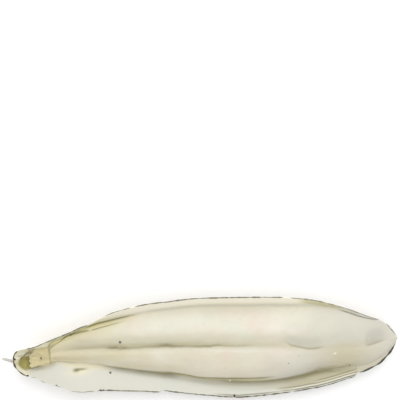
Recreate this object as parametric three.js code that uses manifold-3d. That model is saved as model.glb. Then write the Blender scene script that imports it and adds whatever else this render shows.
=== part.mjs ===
// A cuttlebone: the chalky inner shell of a cuttlefish, washed up or cleaned, lying on its convex back.
// The tail, with its spine, is at -X and the thin front margin at +X. The soft, layered belly side faces +Z.
// Looking from tail to front, the left side is +Y and the right side is -Y.
// It grew as one piece, so it is one solid: a bowl-shaped back shield whose margins turn up as wings, the
// long dome of chambered layers inside it, the horseshoe collar that caps the dome's tail end, and the spine.
// Lengths are in millimetres. "Station" is the distance forward from the tip of the spine.

import * as THREE from "three";
import { mergeVertices } from "three/addons/utils/BufferGeometryUtils.js";
import Module from "manifold-3d";

// Driving dimensions
const LENGTH = 200;
const HALF_WIDTH = 27;
const LEAN = 1.2; // how far the line from the spine to the front lies to the left of the middle of the width
const CROWN = 17.8; // height of the dome's top, before its furrow is pressed in

// The shield
const TAIL_STATION = 6.2; // where the shield ends and only the spine goes on
const TAIL_ROUNDING = 5;
const RIM_WALL = 0.9; // how thick the wings are at their edge
const KEEL_WALL = 2.1; // how thick the shield is along its middle
const LEAST_WALL = 0.7;
const BOWL_POWER = 2.3; // above 2, the back is flat along the middle and turns up near the wings
const REST_DEPTH = 0.25; // how much of the back is worn flat where it rests
const CHIP_STATION = 178.8; // where the outermost layer of the right wing has broken off
const CHIP_DEPTH = 1.5;
const CHIP_RUN = 1; // how long the broken end of that layer is

// The dome of layers
const DOME_POWER = 1.6;
const FURROW_LEFT_SPREAD = 0.3; // of the dome's half-width
const FURROW_RIGHT_SPREAD = 0.12;
const TRENCH_SPREAD = 0.9;
const TRENCH_OFFSET = 0.9;

// The collar, the horseshoe plate over the dome's tail end, whose limbs run forward along the dome's edges
const COLLAR_REAR = 13.8;
const COLLAR_FRONT = 24.6;
const COLLAR_HORNS = 3.5; // how far the two ends of the horseshoe reach forward of its middle
const COLLAR_REAR_BOW = 1.6;
const COLLAR_REAR_HEIGHT = 12.5;
const COLLAR_FRONT_HEIGHT = 11.6;
const COLLAR_POWER = 3.6; // flatter on top and steeper at the sides than the dome
const COLLAR_EDGE = 0.9; // half the length of the slopes at its front and rear
const COLLAR_EDGE_GAIN = 1.4; // how much longer those slopes are at its sides
const LIMB_REACH = 0.9; // of the dome's half-width
const LIMB_SPREAD = 0.1;

// The spine
const SPINE_ROOT = new THREE.Vector3(8.6, -2.8, 9.5); // station, y, z
const SPINE_TIP = new THREE.Vector3(0.11, 0.3, 9.9);
const SPINE_ROOT_RADIUS = 0.85;
const SPINE_TIP_RADIUS = 0.65;
const SPINE_SIDES = 12;

// How finely the skin is divided
const WING_COLUMNS = 6;
const SLOPE_COLUMNS = 10; // on each side of the furrow
const BACK_COLUMNS = 20;
const TAIL_RINGS = 8;
const COLLAR_RINGS = 28;
const DOME_RINGS = 40;
const FRONT_RINGS = 10;
const COLLAR_RINGS_END = 33;
const EDGE_ROOM = 0.94; // columns on the dome stay inside this share of the outline
const FOOT_ROOM = 0.3; // the furrow's column stays this share of the dome's width from each foot

const { clamp, lerp } = THREE.MathUtils;
const smooth = (from, to, x) => THREE.MathUtils.smoothstep(x, from, to);
const hill = (x, spread) => Math.exp(-((x / spread) ** 2));

// A smooth curve through a few [station share of LENGTH, share of size] pairs, which never overshoots them.
function profile(size, pairs) {
  const at = pairs.map(([share]) => share * LENGTH);
  const value = pairs.map(([, share]) => share * size);
  const slope = at.slice(1).map((x, i) => (value[i + 1] - value[i]) / (x - at[i]));
  const tangent = value.map((_, i) => {
    const before = slope[Math.max(i - 1, 0)];
    const after = slope[Math.min(i, slope.length - 1)];
    return before * after <= 0 ? 0 : (2 * before * after) / (before + after);
  });
  return (station) => {
    const s = clamp(station, at[0], at[at.length - 1]);
    const k = Math.max(at.findLastIndex((x, i) => x <= s && i < slope.length), 0);
    const h = at[k + 1] - at[k];
    const t = (s - at[k]) / h;
    const rise = t * t * (3 - 2 * t);
    const bend = h * t * (1 - t) * ((1 - t) * tangent[k] - t * tangent[k + 1]);
    return lerp(value[k], value[k + 1], rise) + bend;
  };
}

// How far the outline reaches to each side of the line from the spine to the front, seen from above
const leftOutline = profile(HALF_WIDTH - LEAN, [
  [0.026, 0.21], [0.053, 0.215], [0.082, 0.245], [0.113, 0.33], [0.134, 0.389], [0.178, 0.508], [0.2, 0.578],
  [0.238, 0.68], [0.256, 0.752], [0.286, 0.835], [0.322, 0.895], [0.362, 0.944], [0.42, 0.974], [0.495, 1],
  [0.608, 0.969], [0.722, 0.915], [0.76, 0.878], [0.81, 0.795], [0.86, 0.67], [0.905, 0.535], [0.935, 0.43],
  [0.96, 0.36], [0.973, 0.304], [0.985, 0.178], [1, 0.03],
]);
const rightOutline = profile(HALF_WIDTH + LEAN, [
  [0.026, 0.23], [0.041, 0.241], [0.067, 0.315], [0.085, 0.351], [0.109, 0.45], [0.136, 0.518],
  [0.18, 0.645], [0.2, 0.667], [0.248, 0.672], [0.308, 0.72], [0.388, 0.791], [0.47, 0.872], [0.51, 0.918],
  [0.598, 1], [0.72, 0.96], [0.778, 0.91], [0.82, 0.862], [0.856, 0.79], [0.893, 0.716], [0.917, 0.66],
  [0.938, 0.58], [0.956, 0.5], [0.971, 0.381], [0.984, 0.263], [1, 0.03],
]);
// Height of the back's middle line over the table: worn flat amidships, curled up at the tail
const keelHeight = profile(CROWN, [
  [0.026, 0.66], [0.032, 0.57], [0.04, 0.5], [0.05, 0.43], [0.07, 0.345], [0.1, 0.265], [0.147, 0.184],
  [0.265, 0.06], [0.375, 0.011], [0.45, 0], [0.65, 0], [0.73, 0.018], [0.828, 0.09],
  [0.905, 0.2], [0.955, 0.31], [1, 0.49],
]);
// Height of the wings' edge
const rimHeight = profile(CROWN, [
  [0.026, 0.74], [0.07, 0.79], [0.147, 0.8], [0.265, 0.69], [0.375, 0.575], [0.5, 0.505],
  [0.6, 0.475], [0.727, 0.46], [0.828, 0.465], [0.905, 0.49], [1, 0.545],
]);
// Half-width of the dome, and how far its middle is bowed towards the left
const domeHalfWidth = profile(HALF_WIDTH, [
  [0.026, 0.1], [0.07, 0.19], [0.118, 0.19], [0.132, 0.22], [0.148, 0.25], [0.21, 0.378], [0.27, 0.468],
  [0.37, 0.598], [0.415, 0.638], [0.507, 0.726], [0.55, 0.744], [0.61, 0.752], [0.65, 0.75], [0.71, 0.722],
  [0.755, 0.685], [0.795, 0.648], [0.858, 0.591], [0.895, 0.517], [0.93, 0.448], [0.97, 0.294], [1, 0.022],
]);
const domeOffset = profile(HALF_WIDTH, [
  [0.026, 0], [0.07, -0.011], [0.118, 0.018], [0.132, 0.087], [0.167, 0.102], [0.21, 0.141], [0.235, 0.146],
  [0.27, 0.128], [0.37, 0.111], [0.415, 0.095], [0.507, 0.033], [0.55, 0.004], [0.65, -0.043], [0.71, -0.041],
  [0.755, -0.019], [0.795, 0.018], [0.858, -0.005], [0.93, -0.067], [0.97, -0.035], [1, 0],
]);
// Height of the dome's top
const crownHeight = profile(CROWN, [
  [0.1, 0.6], [0.125, 0.605], [0.2, 0.625], [0.265, 0.67], [0.375, 0.79], [0.5, 0.925], [0.6, 0.99],
  [0.66, 1], [0.727, 0.972], [0.828, 0.84], [0.905, 0.69], [0.955, 0.6], [1, 0.56],
]);
// Where the furrow runs along the dome, and its depth
const furrowLine = profile(HALF_WIDTH, [
  [0.026, 0], [0.07, 0.03], [0.12, 0.055], [0.15, 0.085], [0.22, 0.11], [0.35, 0.113], [0.4, 0.122],
  [0.54, 0.111], [0.58, 0.094], [0.66, 0.068], [0.748, 0.01], [0.8, -0.051], [0.92, -0.091], [0.968, -0.025],
  [1, 0],
]);
const furrowDepth = profile(CROWN, [
  [0.12, 0.015], [0.25, 0.045], [0.45, 0.066], [0.75, 0.06], [0.85, 0.03], [0.93, 0.03], [0.99, 0],
]);
// Height of the collar's limbs, and depth of the trench beside them, which runs on along the dome's foot
const limbHeight = profile(CROWN, [
  [0.11, 0], [0.15, 0.055], [0.22, 0.05], [0.3, 0.035], [0.4, 0.015], [0.52, 0],
]);
const trenchDepth = profile(CROWN, [
  [0.06, 0], [0.075, 0.05], [0.1, 0.06], [0.15, 0.045], [0.24, 0.028], [0.85, 0.028], [0.93, 0.015],
  [0.98, 0],
]);

// Where the shield's edge is on the left (side 1) or on the right (side -1), with the tail's end rounded off
function edge(station, side) {
  const short = Math.max(1 - (station - TAIL_STATION) / TAIL_ROUNDING, 0);
  const rounding = Math.sqrt(1 - Math.min(short, 1) ** 2);
  const ahead = (LENGTH - station) / (LENGTH - CHIP_STATION);
  const chip = CHIP_DEPTH * ahead * smooth(CHIP_STATION, CHIP_STATION + CHIP_RUN, station);
  const half = side > 0 ? leftOutline(station) : rightOutline(station) - chip;
  return side * half * rounding;
}

// How far out a place is, from 0 on the middle line to 1 at the edge
function shareOut(station, y) {
  return Math.min(y / edge(station, y < 0 ? -1 : 1), 1);
}

// Height of the back at a place
function backHeight(station, y) {
  const keel = keelHeight(station);
  const raw = keel + (rimHeight(station) - RIM_WALL - keel) * shareOut(station, y) ** BOWL_POWER;
  return Math.max(raw - REST_DEPTH, 0);
}

// Height of the bowl's inside at a place, before the dome fills it
function bowlHeight(station, y) {
  return backHeight(station, y) + lerp(KEEL_WALL, RIM_WALL, shareOut(station, y));
}

// Height of the belly side at a place: the bowl with its trench, and the dome with the collar and its limbs
function bellyHeight(station, y) {
  const half = domeHalfWidth(station);
  const middle = domeOffset(station);
  const fromMiddle = Math.abs(y - middle) / half;
  const reach = Math.min(fromMiddle, 1);

  const fromFurrow = (y - furrowLine(station)) / half;
  const spread = fromFurrow > 0 ? FURROW_LEFT_SPREAD : FURROW_RIGHT_SPREAD;
  const furrow = furrowDepth(station) * hill(fromFurrow, spread);

  const slope = COLLAR_EDGE * (1 + COLLAR_EDGE_GAIN * reach);
  const frontEdge = COLLAR_FRONT + COLLAR_HORNS * reach ** 4;
  const inCollar = 1 - smooth(frontEdge - slope, frontEdge + slope, station);
  const rearEdge = COLLAR_REAR + COLLAR_REAR_BOW * reach ** 2;
  const raised = smooth(rearEdge - COLLAR_EDGE, rearEdge + COLLAR_EDGE, station);
  const along = clamp((station - COLLAR_REAR) / (COLLAR_FRONT - COLLAR_REAR), 0, 1);
  const top = lerp(crownHeight(station), lerp(COLLAR_REAR_HEIGHT, COLLAR_FRONT_HEIGHT, along), inCollar);
  const bulge = Math.cos((Math.PI / 2) * reach ** lerp(DOME_POWER, COLLAR_POWER, inCollar));
  const limb = limbHeight(station) * hill(fromMiddle - LIMB_REACH, LIMB_SPREAD);
  const rise = Math.max(top - bowlHeight(station, middle), 0) * bulge * raised;

  const fromFoot = (fromMiddle - 1) * half;
  const trench = trenchDepth(station) * hill(fromFoot - TRENCH_OFFSET, TRENCH_SPREAD);
  const height = bowlHeight(station, y) + rise + limb - furrow * (1 - inCollar) - trench;
  return Math.max(height, backHeight(station, y) + LEAST_WALL);
}

// How steps are spread along a stretch: evenly, or closer together at both ends, its start or its end
const steady = (t) => t;
const closeAtBoth = (t) => (1 - Math.cos(Math.PI * t)) / 2;
const closeAtStart = (t) => 1 - Math.cos((Math.PI / 2) * t);
const closeAtEnd = (t) => Math.sin((Math.PI / 2) * t);

// The end points of each step along some stretches, one after the other
function divide(stretches) {
  return stretches.flatMap(({ from, to, steps, ease }) =>
    Array.from({ length: steps }, (_, i) => lerp(from, to, ease((i + 1) / steps))),
  );
}

// Places across the shield from the right edge to the left, so that columns of points follow the dome's foot
// and its furrow, and lie closest together there
function placesAcross(station) {
  const [right, left] = [edge(station, -1), edge(station, 1)];
  const half = domeHalfWidth(station);
  const rightFoot = Math.max(domeOffset(station) - half, right * EDGE_ROOM);
  const leftFoot = Math.min(domeOffset(station) + half, left * EDGE_ROOM);
  const room = FOOT_ROOM * (leftFoot - rightFoot);
  const furrow = clamp(furrowLine(station), rightFoot + room, leftFoot - room);
  const stretches = [
    { from: right, to: rightFoot, steps: WING_COLUMNS, ease: steady },
    { from: rightFoot, to: furrow, steps: SLOPE_COLUMNS, ease: closeAtBoth },
    { from: furrow, to: leftFoot, steps: SLOPE_COLUMNS, ease: closeAtBoth },
    { from: leftFoot, to: left, steps: WING_COLUMNS, ease: steady },
  ];
  return [right, ...divide(stretches)];
}

// Stations of the rings: close together round the tail's collar and at both ends, wider along the dome
function ringStations() {
  const tailEnd = TAIL_STATION + TAIL_ROUNDING;
  const chipEnd = CHIP_STATION + CHIP_RUN;
  return divide([
    { from: TAIL_STATION, to: tailEnd, steps: TAIL_RINGS, ease: closeAtStart },
    { from: tailEnd, to: COLLAR_RINGS_END, steps: COLLAR_RINGS, ease: steady },
    { from: COLLAR_RINGS_END, to: CHIP_STATION, steps: DOME_RINGS, ease: steady },
    { from: CHIP_STATION, to: chipEnd, steps: 1, ease: steady },
    { from: chipEnd, to: LENGTH, steps: FRONT_RINGS, ease: closeAtEnd },
  ]);
}

// One closed ring of points round the shield at a station: the belly side, then back along the other side
function ring(station) {
  const x = station - LENGTH / 2;
  const belly = placesAcross(station).map((y) => [x, y, bellyHeight(station, y)]);
  const back = Array.from({ length: BACK_COLUMNS + 1 }, (_, i) => {
    const y = lerp(edge(station, 1), edge(station, -1), i / BACK_COLUMNS);
    return [x, y, backHeight(station, y)];
  });
  return [...belly, ...back];
}

// The shield, dome and collar as one closed skin
function shellGeometry() {
  const rings = ringStations().map(ring);
  const count = rings[0].length;
  const points = rings.flat();
  const triangles = [];
  for (let r = 0; r + 1 < rings.length; r++)
    for (let i = 0; i < count; i++) {
      const j = (i + 1) % count;
      const [a, b, c, d] = [r * count + i, r * count + j, (r + 1) * count + j, (r + 1) * count + i];
      triangles.push(a, c, b, a, d, c);
    }
  for (const end of [0, rings.length - 1]) {
    const middle = [0, 1, 2].map((k) => rings[end].reduce((sum, p) => sum + p[k], 0) / count);
    const hub = points.push(middle) - 1;
    for (let i = 0; i < count; i++) {
      const pair = [end * count + i, end * count + ((i + 1) % count)];
      triangles.push(...(end === 0 ? pair : pair.reverse()), hub);
    }
  }
  const geometry = new THREE.BufferGeometry();
  geometry.setAttribute("position", new THREE.Float32BufferAttribute(points.flat(), 3));
  geometry.setIndex(triangles);
  return geometry;
}

// The spine, a blunt needle that grows out of the back of the tail
function spineGeometry() {
  const root = SPINE_ROOT.clone().setX(SPINE_ROOT.x - LENGTH / 2);
  const tip = SPINE_TIP.clone().setX(SPINE_TIP.x - LENGTH / 2);
  const reach = tip.distanceTo(root);
  const profilePoints = [
    [0, 0],
    [SPINE_ROOT_RADIUS, 0],
    [lerp(SPINE_ROOT_RADIUS, SPINE_TIP_RADIUS, 0.5), reach / 2],
    [SPINE_TIP_RADIUS, reach - SPINE_TIP_RADIUS / 2],
    [SPINE_TIP_RADIUS / 2, reach],
    [0, reach],
  ].map(([radius, along]) => new THREE.Vector2(radius, along));
  const geometry = new THREE.LatheGeometry(profilePoints, SPINE_SIDES);
  const turn = new THREE.Quaternion().setFromUnitVectors(
    new THREE.Vector3(0, 1, 0),
    tip.clone().sub(root).normalize(),
  );
  return geometry.applyQuaternion(turn).translate(root.x, root.y, root.z);
}

// A closed mesh as a solid that can be joined to another
function solidOf(wasm, geometry) {
  const bare = new THREE.BufferGeometry();
  bare.setAttribute("position", geometry.getAttribute("position"));
  bare.setIndex(geometry.index);
  const merged = mergeVertices(bare, 1e-4);
  return new wasm.Manifold(
    new wasm.Mesh({
      numProp: 3,
      vertProperties: merged.getAttribute("position").array,
      triVerts: new Uint32Array(merged.index.array),
    }),
  );
}

// A solid as a mesh geometry
function geometryOf(solid) {
  const mesh = solid.getMesh();
  const geometry = new THREE.BufferGeometry();
  geometry.setAttribute("position", new THREE.BufferAttribute(mesh.vertProperties, 3));
  geometry.setIndex(new THREE.BufferAttribute(mesh.triVerts, 1));
  geometry.computeVertexNormals();
  return geometry;
}

const wasm = await Module();
wasm.setup();

const bone = solidOf(wasm, shellGeometry()).add(solidOf(wasm, spineGeometry()));
const chalk = new THREE.MeshStandardMaterial({ color: "#e6e1d2", roughness: 0.85, metalness: 0 });
const cuttlebone = new THREE.Mesh(geometryOf(bone), chalk);
cuttlebone.name = "cuttlebone";
cuttlebone.position.y = LEAN;

const group = new THREE.Group();
group.add(cuttlebone);
export default group;
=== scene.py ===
"""A dried cuttlebone, belly side up on a pale studio floor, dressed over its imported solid.

The bone lies on its convex back, with its tail spine at -X and its thin front margin at +X. Left is +Y and
right is -Y. Sizes are in millimetres, "station" is the distance forward from the tip of the spine, and meshes
are written in metres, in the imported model's frame.
"""
import logging
import math
from collections.abc import Callable
from dataclasses import dataclass, field
from enum import Enum
from typing import Any

import bpy
import numpy as np
from mathutils import Matrix, Vector


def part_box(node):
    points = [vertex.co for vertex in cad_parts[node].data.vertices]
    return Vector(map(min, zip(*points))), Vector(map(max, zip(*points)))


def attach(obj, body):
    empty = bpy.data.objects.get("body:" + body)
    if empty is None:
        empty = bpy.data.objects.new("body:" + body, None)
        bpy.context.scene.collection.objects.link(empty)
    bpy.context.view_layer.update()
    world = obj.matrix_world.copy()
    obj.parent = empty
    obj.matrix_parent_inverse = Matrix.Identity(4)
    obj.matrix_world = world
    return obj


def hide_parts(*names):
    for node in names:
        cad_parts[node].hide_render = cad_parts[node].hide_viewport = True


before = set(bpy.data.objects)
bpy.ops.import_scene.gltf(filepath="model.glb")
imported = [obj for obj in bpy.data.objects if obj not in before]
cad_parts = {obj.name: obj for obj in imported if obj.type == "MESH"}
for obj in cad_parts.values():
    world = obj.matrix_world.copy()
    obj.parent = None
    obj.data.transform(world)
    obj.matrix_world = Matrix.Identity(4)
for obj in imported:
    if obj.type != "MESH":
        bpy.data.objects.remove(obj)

LOG = logging.getLogger("cuttlebone")
MM = 0.001
NODE = "cuttlebone"
BODY = "root"
EVEN = math.inf
LATTICE = 256
Array = np.ndarray
Ends = tuple[float, float]
Pairs = tuple[Ends, ...]
Inputs = dict[str | int, Any]
Socket = bpy.types.NodeSocket
Term = float | Socket
Terms = tuple[Term, Term]


class Side(Enum):
    """A side of the bone, looking from its tail to its front."""

    LEFT = 1
    RIGHT = -1


def smooth(start: float | Array, end: float | Array, x: Array) -> Array:
    """Rise smoothly from 0 at start to 1 at end.

    Args:
        start: Where the rise starts.
        end: Where it ends.
        x: The places to read it at.

    Returns:
        The height of the rise at each place.
    """
    t = np.clip((x - start) / (end - start), 0, 1)
    return t * t * (3 - 2 * t)


def hill(x: Array, spread: float | Array) -> Array:
    """Give a bell curve of height 1 round 0, read at x."""
    return np.exp(-((x / spread) ** 2))


def lerp(a: float | Array, b: float | Array, t: float | Array) -> Array:
    """Go from a to b by the share t."""
    return a + (b - a) * t


def grain(x: Array, y: Array, seed: int) -> Array:
    """Read smooth random bumps, about one unit wide.

    Args:
        x: Places along the first direction, in bumps.
        y: Places along the second direction, in bumps.
        seed: Which bumps to read.

    Returns:
        Heights from 0 to 1.
    """
    lattice = np.random.default_rng(seed).random((LATTICE, LATTICE))
    x, y = np.broadcast_arrays(x, y)
    column, row = np.floor(x).astype(int), np.floor(y).astype(int)
    across, up = x - column, y - row
    across, up = across * across * (3 - 2 * across), up * up * (3 - 2 * up)

    def corner(i: int, j: int) -> Array:
        """Read the lattice at a corner of each place's cell."""
        return lattice[(column + i) % LATTICE, (row + j) % LATTICE]

    low = lerp(corner(0, 0), corner(1, 0), across)
    high = lerp(corner(0, 1), corner(1, 1), across)
    return lerp(low, high, up)


def rough(x: Array, y: Array, seed: int) -> Array:
    """Read smooth random bumps with finer ones on them, from -1 to 1."""
    coarse = grain(x, y, seed)
    middle = grain(x * 2.1, y * 2.1, seed + 1)
    fine = grain(x * 4.3, y * 4.3, seed + 2)
    return (coarse * 4 + middle * 2 + fine) / 3.5 - 1


@dataclass(frozen=True)
class Slope:
    """A soft step in a distance.

    Attributes:
        start: The distance that gives 0.
        end: The distance that gives 1, which may be the smaller one.
    """

    start: float
    end: float

    def at(self, distance: Array) -> Array:
        """Read the step, from 0 to 1."""
        return smooth(self.start, self.end, distance)


@dataclass(frozen=True)
class Span:
    """A stretch of a distance, mostly of the stations, with soft ends.

    Attributes:
        start: Where it starts to rise.
        full: Where it is full.
        fading: Where it starts to fall.
        end: Where it is gone.
    """

    start: float
    full: float
    fading: float
    end: float

    def at(self, distance: Array) -> Array:
        """Read its strength, from 0 to 1."""
        return smooth(self.start, self.full, distance) * smooth(self.end, self.fading, distance)


@dataclass(frozen=True)
class Band:
    """A soft line beside a curve.

    Attributes:
        offset: How far from the curve its middle runs.
        spread: How wide it is.
        span: The stations that it runs over, or None for all of them.
        strength: Its strength along its middle.
    """

    offset: float
    spread: float
    span: Span | None = None
    strength: float = 1.0

    def at(self, distance: Array, station: Array | None = None) -> Array:
        """Read its strength at each place.

        Args:
            distance: The places' distances from the curve.
            station: Their stations, which a band with a span needs.

        Returns:
            Values from 0 to the band's strength.
        """
        line = self.strength * hill(distance - self.offset, self.spread)
        return line * self.span.at(station) if self.span else line


@dataclass(frozen=True)
class Spot:
    """A soft oval mark.

    Attributes:
        station: Where its middle is along the bone.
        length: How long it is.
        y: Where its middle is across.
        width: How wide it is.
        strength: Its strength in the middle.
    """

    station: float
    length: float
    y: float
    width: float
    strength: float = 1.0

    def at(self, station: Array, y: Array) -> Array:
        """Read its strength at each place."""
        return self.strength * hill(station - self.station, self.length) * hill(y - self.y, self.width)


@dataclass(frozen=True)
class Lumps:
    """Random bumps of one size, with finer ones on them.

    Attributes:
        length: How long one is, in the first direction.
        width: How wide it is in the second one, or EVEN where they don't change that way.
        seed: Which bumps to read.
        height: How high they are.
    """

    length: float
    width: float
    seed: int
    height: float = 1.0

    def at(self, first: Array, second: Array) -> Array:
        """Read them, from minus their height to their height."""
        return self.height * rough(first / self.length, second / self.width, self.seed)

    def share(self, first: Array, second: Array) -> Array:
        """Read them from 0 to 1."""
        return 0.5 + 0.5 * rough(first / self.length, second / self.width, self.seed)

    def plain(self, first: Array, second: Array) -> Array:
        """Read them from 0 to 1, without the finer bumps."""
        return grain(first / self.length, second / self.width, self.seed)


@dataclass(frozen=True)
class GrowthCurve:
    """A smooth curve through a few (share of the bone's length, share of a size) pairs.

    It never overshoots them.
    """

    pairs: Pairs

    def at(self, share: Array, size: float = 1.0) -> Array:
        """Read the curve.

        Args:
            share: Shares of the bone's length, from 0 at the tip of the spine to 1 at the front.
            size: What the curve's values are shares of.

        Returns:
            The curve's values times the size.
        """
        knots, values = np.array(self.pairs).T
        slope = np.diff(values) / np.diff(knots)
        before = np.concatenate([slope[:1], slope])
        after = np.concatenate([slope, slope[-1:]])
        total = np.where(before * after > 0, before + after, 1)
        tangent = np.where(before * after > 0, 2 * before * after / total, 0)
        share = np.clip(share, knots[0], knots[-1])
        k = np.clip(np.searchsorted(knots, share, side="right") - 1, 0, len(slope) - 1)
        width = knots[k + 1] - knots[k]
        t = (share - knots[k]) / width
        bend = width * t * (1 - t) * ((1 - t) * tangent[k] - t * tangent[k + 1])
        return (lerp(values[k], values[k + 1], t * t * (3 - 2 * t)) + bend) * size


@dataclass(frozen=True)
class Nick:
    """A small break in a wing's edge.

    Attributes:
        station: Where it starts.
        side: Which wing it is in.
        depth: How deep it is.
        run: How long its broken end is.
        fade: How far forward of it the edge is whole again.
    """

    station: float
    side: Side
    depth: float
    run: float
    fade: float


@dataclass(frozen=True)
class BoneForm:
    """The whole bone's form as a rule: the height of its back and of its belly side at any place.

    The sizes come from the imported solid's box, and the curves are shares of them.
    """

    length: float
    half_width: float
    crown: float
    lean: float = 1.2
    tail_station: float = 6.2
    tail_rounding: float = 5.0
    rim_wall: float = 0.9
    keel_wall: float = 2.1
    least_wall: float = 0.55
    edge_wall: float = 0.14
    edge_rounding: float = 0.7
    bowl_power: float = 2.3
    rest_depth: float = 0.25
    dome_power: float = 1.6
    furrow_left_spread: float = 0.3
    furrow_right_spread: float = 0.12
    trench_spread: float = 0.9
    trench_offset: float = 0.9
    collar_rear: float = 13.8
    collar_front: float = 24.6
    collar_horns: float = 3.5
    collar_rear_bow: float = 1.6
    collar_rear_height: float = 12.5
    collar_front_height: float = 11.6
    collar_power: float = 3.6
    collar_edge: float = 0.55
    collar_edge_gain: float = 1.4
    limb_reach: float = 0.9
    limb_spread: float = 0.1
    worn: Span = Span(8, 20, 192, 200)
    worn_lumps: Lumps = Lumps(5, 1, 40, 0.16)
    worn_row: float = 7
    nicks: tuple[Nick, ...] = (
        Nick(178.8, Side.RIGHT, 1.5, 0.6, 21.2),
        Nick(79.2, Side.RIGHT, 1.0, 0.4, 12.0),
        Nick(193.2, Side.LEFT, 0.55, 0.5, 3.0),
        Nick(43.9, Side.LEFT, 0.35, 0.5, 5.0),
    )
    left_outline: GrowthCurve = GrowthCurve((
        (0.026, 0.21), (0.053, 0.215), (0.082, 0.245), (0.113, 0.33), (0.134, 0.389), (0.178, 0.508),
        (0.2, 0.578), (0.238, 0.68), (0.256, 0.752), (0.286, 0.835), (0.322, 0.895), (0.362, 0.944),
        (0.42, 0.974), (0.495, 1), (0.608, 0.969), (0.722, 0.915), (0.76, 0.878), (0.81, 0.795),
        (0.86, 0.67), (0.905, 0.535), (0.935, 0.43), (0.96, 0.36), (0.973, 0.304), (0.985, 0.178),
        (1, 0.03),
    ))
    right_outline: GrowthCurve = GrowthCurve((
        (0.026, 0.23), (0.041, 0.241), (0.067, 0.315), (0.085, 0.351), (0.109, 0.45), (0.136, 0.518),
        (0.18, 0.645), (0.2, 0.667), (0.248, 0.672), (0.308, 0.72), (0.388, 0.791), (0.47, 0.872),
        (0.51, 0.918), (0.598, 1), (0.72, 0.96), (0.778, 0.91), (0.82, 0.862), (0.856, 0.79),
        (0.893, 0.716), (0.917, 0.66), (0.938, 0.58), (0.956, 0.5), (0.971, 0.381), (0.984, 0.263),
        (1, 0.03),
    ))
    keel_height: GrowthCurve = GrowthCurve((
        (0.026, 0.66), (0.032, 0.57), (0.04, 0.5), (0.05, 0.43), (0.07, 0.345), (0.1, 0.265), (0.147, 0.184),
        (0.265, 0.06), (0.375, 0.011), (0.45, 0), (0.65, 0), (0.73, 0.018), (0.828, 0.09), (0.905, 0.2),
        (0.955, 0.31), (1, 0.49),
    ))
    rim_height: GrowthCurve = GrowthCurve((
        (0.026, 0.74), (0.07, 0.79), (0.147, 0.8), (0.265, 0.69), (0.375, 0.575), (0.5, 0.505), (0.6, 0.475),
        (0.727, 0.46), (0.828, 0.465), (0.905, 0.49), (1, 0.545),
    ))
    dome_half_width: GrowthCurve = GrowthCurve((
        (0.026, 0.1), (0.07, 0.19), (0.118, 0.19), (0.132, 0.22), (0.148, 0.25), (0.21, 0.378),
        (0.27, 0.468), (0.37, 0.598), (0.415, 0.638), (0.507, 0.726), (0.55, 0.744), (0.61, 0.752),
        (0.65, 0.75), (0.71, 0.722), (0.755, 0.685), (0.795, 0.648), (0.858, 0.591), (0.895, 0.517),
        (0.93, 0.448), (0.97, 0.294), (1, 0.022),
    ))
    dome_offset: GrowthCurve = GrowthCurve((
        (0.026, 0), (0.07, -0.011), (0.118, 0.018), (0.132, 0.087), (0.167, 0.102), (0.21, 0.141),
        (0.235, 0.146), (0.27, 0.128), (0.37, 0.111), (0.415, 0.095), (0.507, 0.033), (0.55, 0.004),
        (0.65, -0.043), (0.71, -0.041), (0.755, -0.019), (0.795, 0.018), (0.858, -0.005), (0.93, -0.067),
        (0.97, -0.035), (1, 0),
    ))
    crown_height: GrowthCurve = GrowthCurve((
        (0.1, 0.6), (0.125, 0.605), (0.2, 0.625), (0.265, 0.67), (0.375, 0.79), (0.5, 0.925), (0.6, 0.99),
        (0.66, 1), (0.727, 0.972), (0.828, 0.84), (0.905, 0.69), (0.955, 0.6), (1, 0.56),
    ))
    furrow_line: GrowthCurve = GrowthCurve((
        (0.026, 0), (0.07, 0.03), (0.12, 0.055), (0.15, 0.085), (0.22, 0.11), (0.35, 0.113), (0.4, 0.122),
        (0.54, 0.111), (0.58, 0.094), (0.66, 0.068), (0.748, 0.01), (0.8, -0.051), (0.92, -0.091),
        (0.968, -0.025), (1, 0),
    ))
    furrow_depth: GrowthCurve = GrowthCurve((
        (0.12, 0.015), (0.25, 0.045), (0.45, 0.066), (0.75, 0.06), (0.85, 0.03), (0.93, 0.03), (0.99, 0),
    ))
    limb_height: GrowthCurve = GrowthCurve((
        (0.11, 0), (0.15, 0.055), (0.22, 0.05), (0.3, 0.035), (0.4, 0.015), (0.52, 0),
    ))
    trench_depth: GrowthCurve = GrowthCurve((
        (0.06, 0), (0.075, 0.05), (0.1, 0.06), (0.15, 0.045), (0.24, 0.028), (0.85, 0.028), (0.93, 0.015),
        (0.98, 0),
    ))

    def edge(self, station: Array, side: Side) -> Array:
        """Find how far the shield reaches to one side of the line from the spine to the front.

        Args:
            station: The stations to read it at.
            side: The side of the bone.

        Returns:
            The distance out to the edge, never negative.
        """
        share = station / self.length
        short = np.clip(1 - (station - self.tail_station) / self.tail_rounding, 0, 1)
        size = self.half_width - side.value * self.lean
        curve = self.left_outline if side is Side.LEFT else self.right_outline
        reach = curve.at(share, size)
        for nick in self.nicks:
            if nick.side is side:
                ahead = np.clip((nick.station + nick.fade - station) / nick.fade, 0, 1)
                reach = reach - nick.depth * ahead * smooth(nick.station, nick.station + nick.run, station)
        row = station * 0 + self.worn_row * side.value
        reach = reach + self.worn.at(station) * self.worn_lumps.at(station, row)
        return reach * np.sqrt(1 - short**2)

    def share_out(self, station: Array, y: Array) -> Array:
        """Give how far out a place is, from 0 on the middle line to 1 at the edge."""
        reach = np.where(y < 0, self.edge(station, Side.RIGHT), self.edge(station, Side.LEFT))
        return np.clip(np.abs(y) / np.maximum(reach, 1e-3), 0, 1)

    def from_edge(self, station: Array, y: Array) -> Array:
        """Give how far in from the nearest edge a place is."""
        return np.minimum(self.edge(station, Side.LEFT) - y, self.edge(station, Side.RIGHT) + y)

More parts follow.
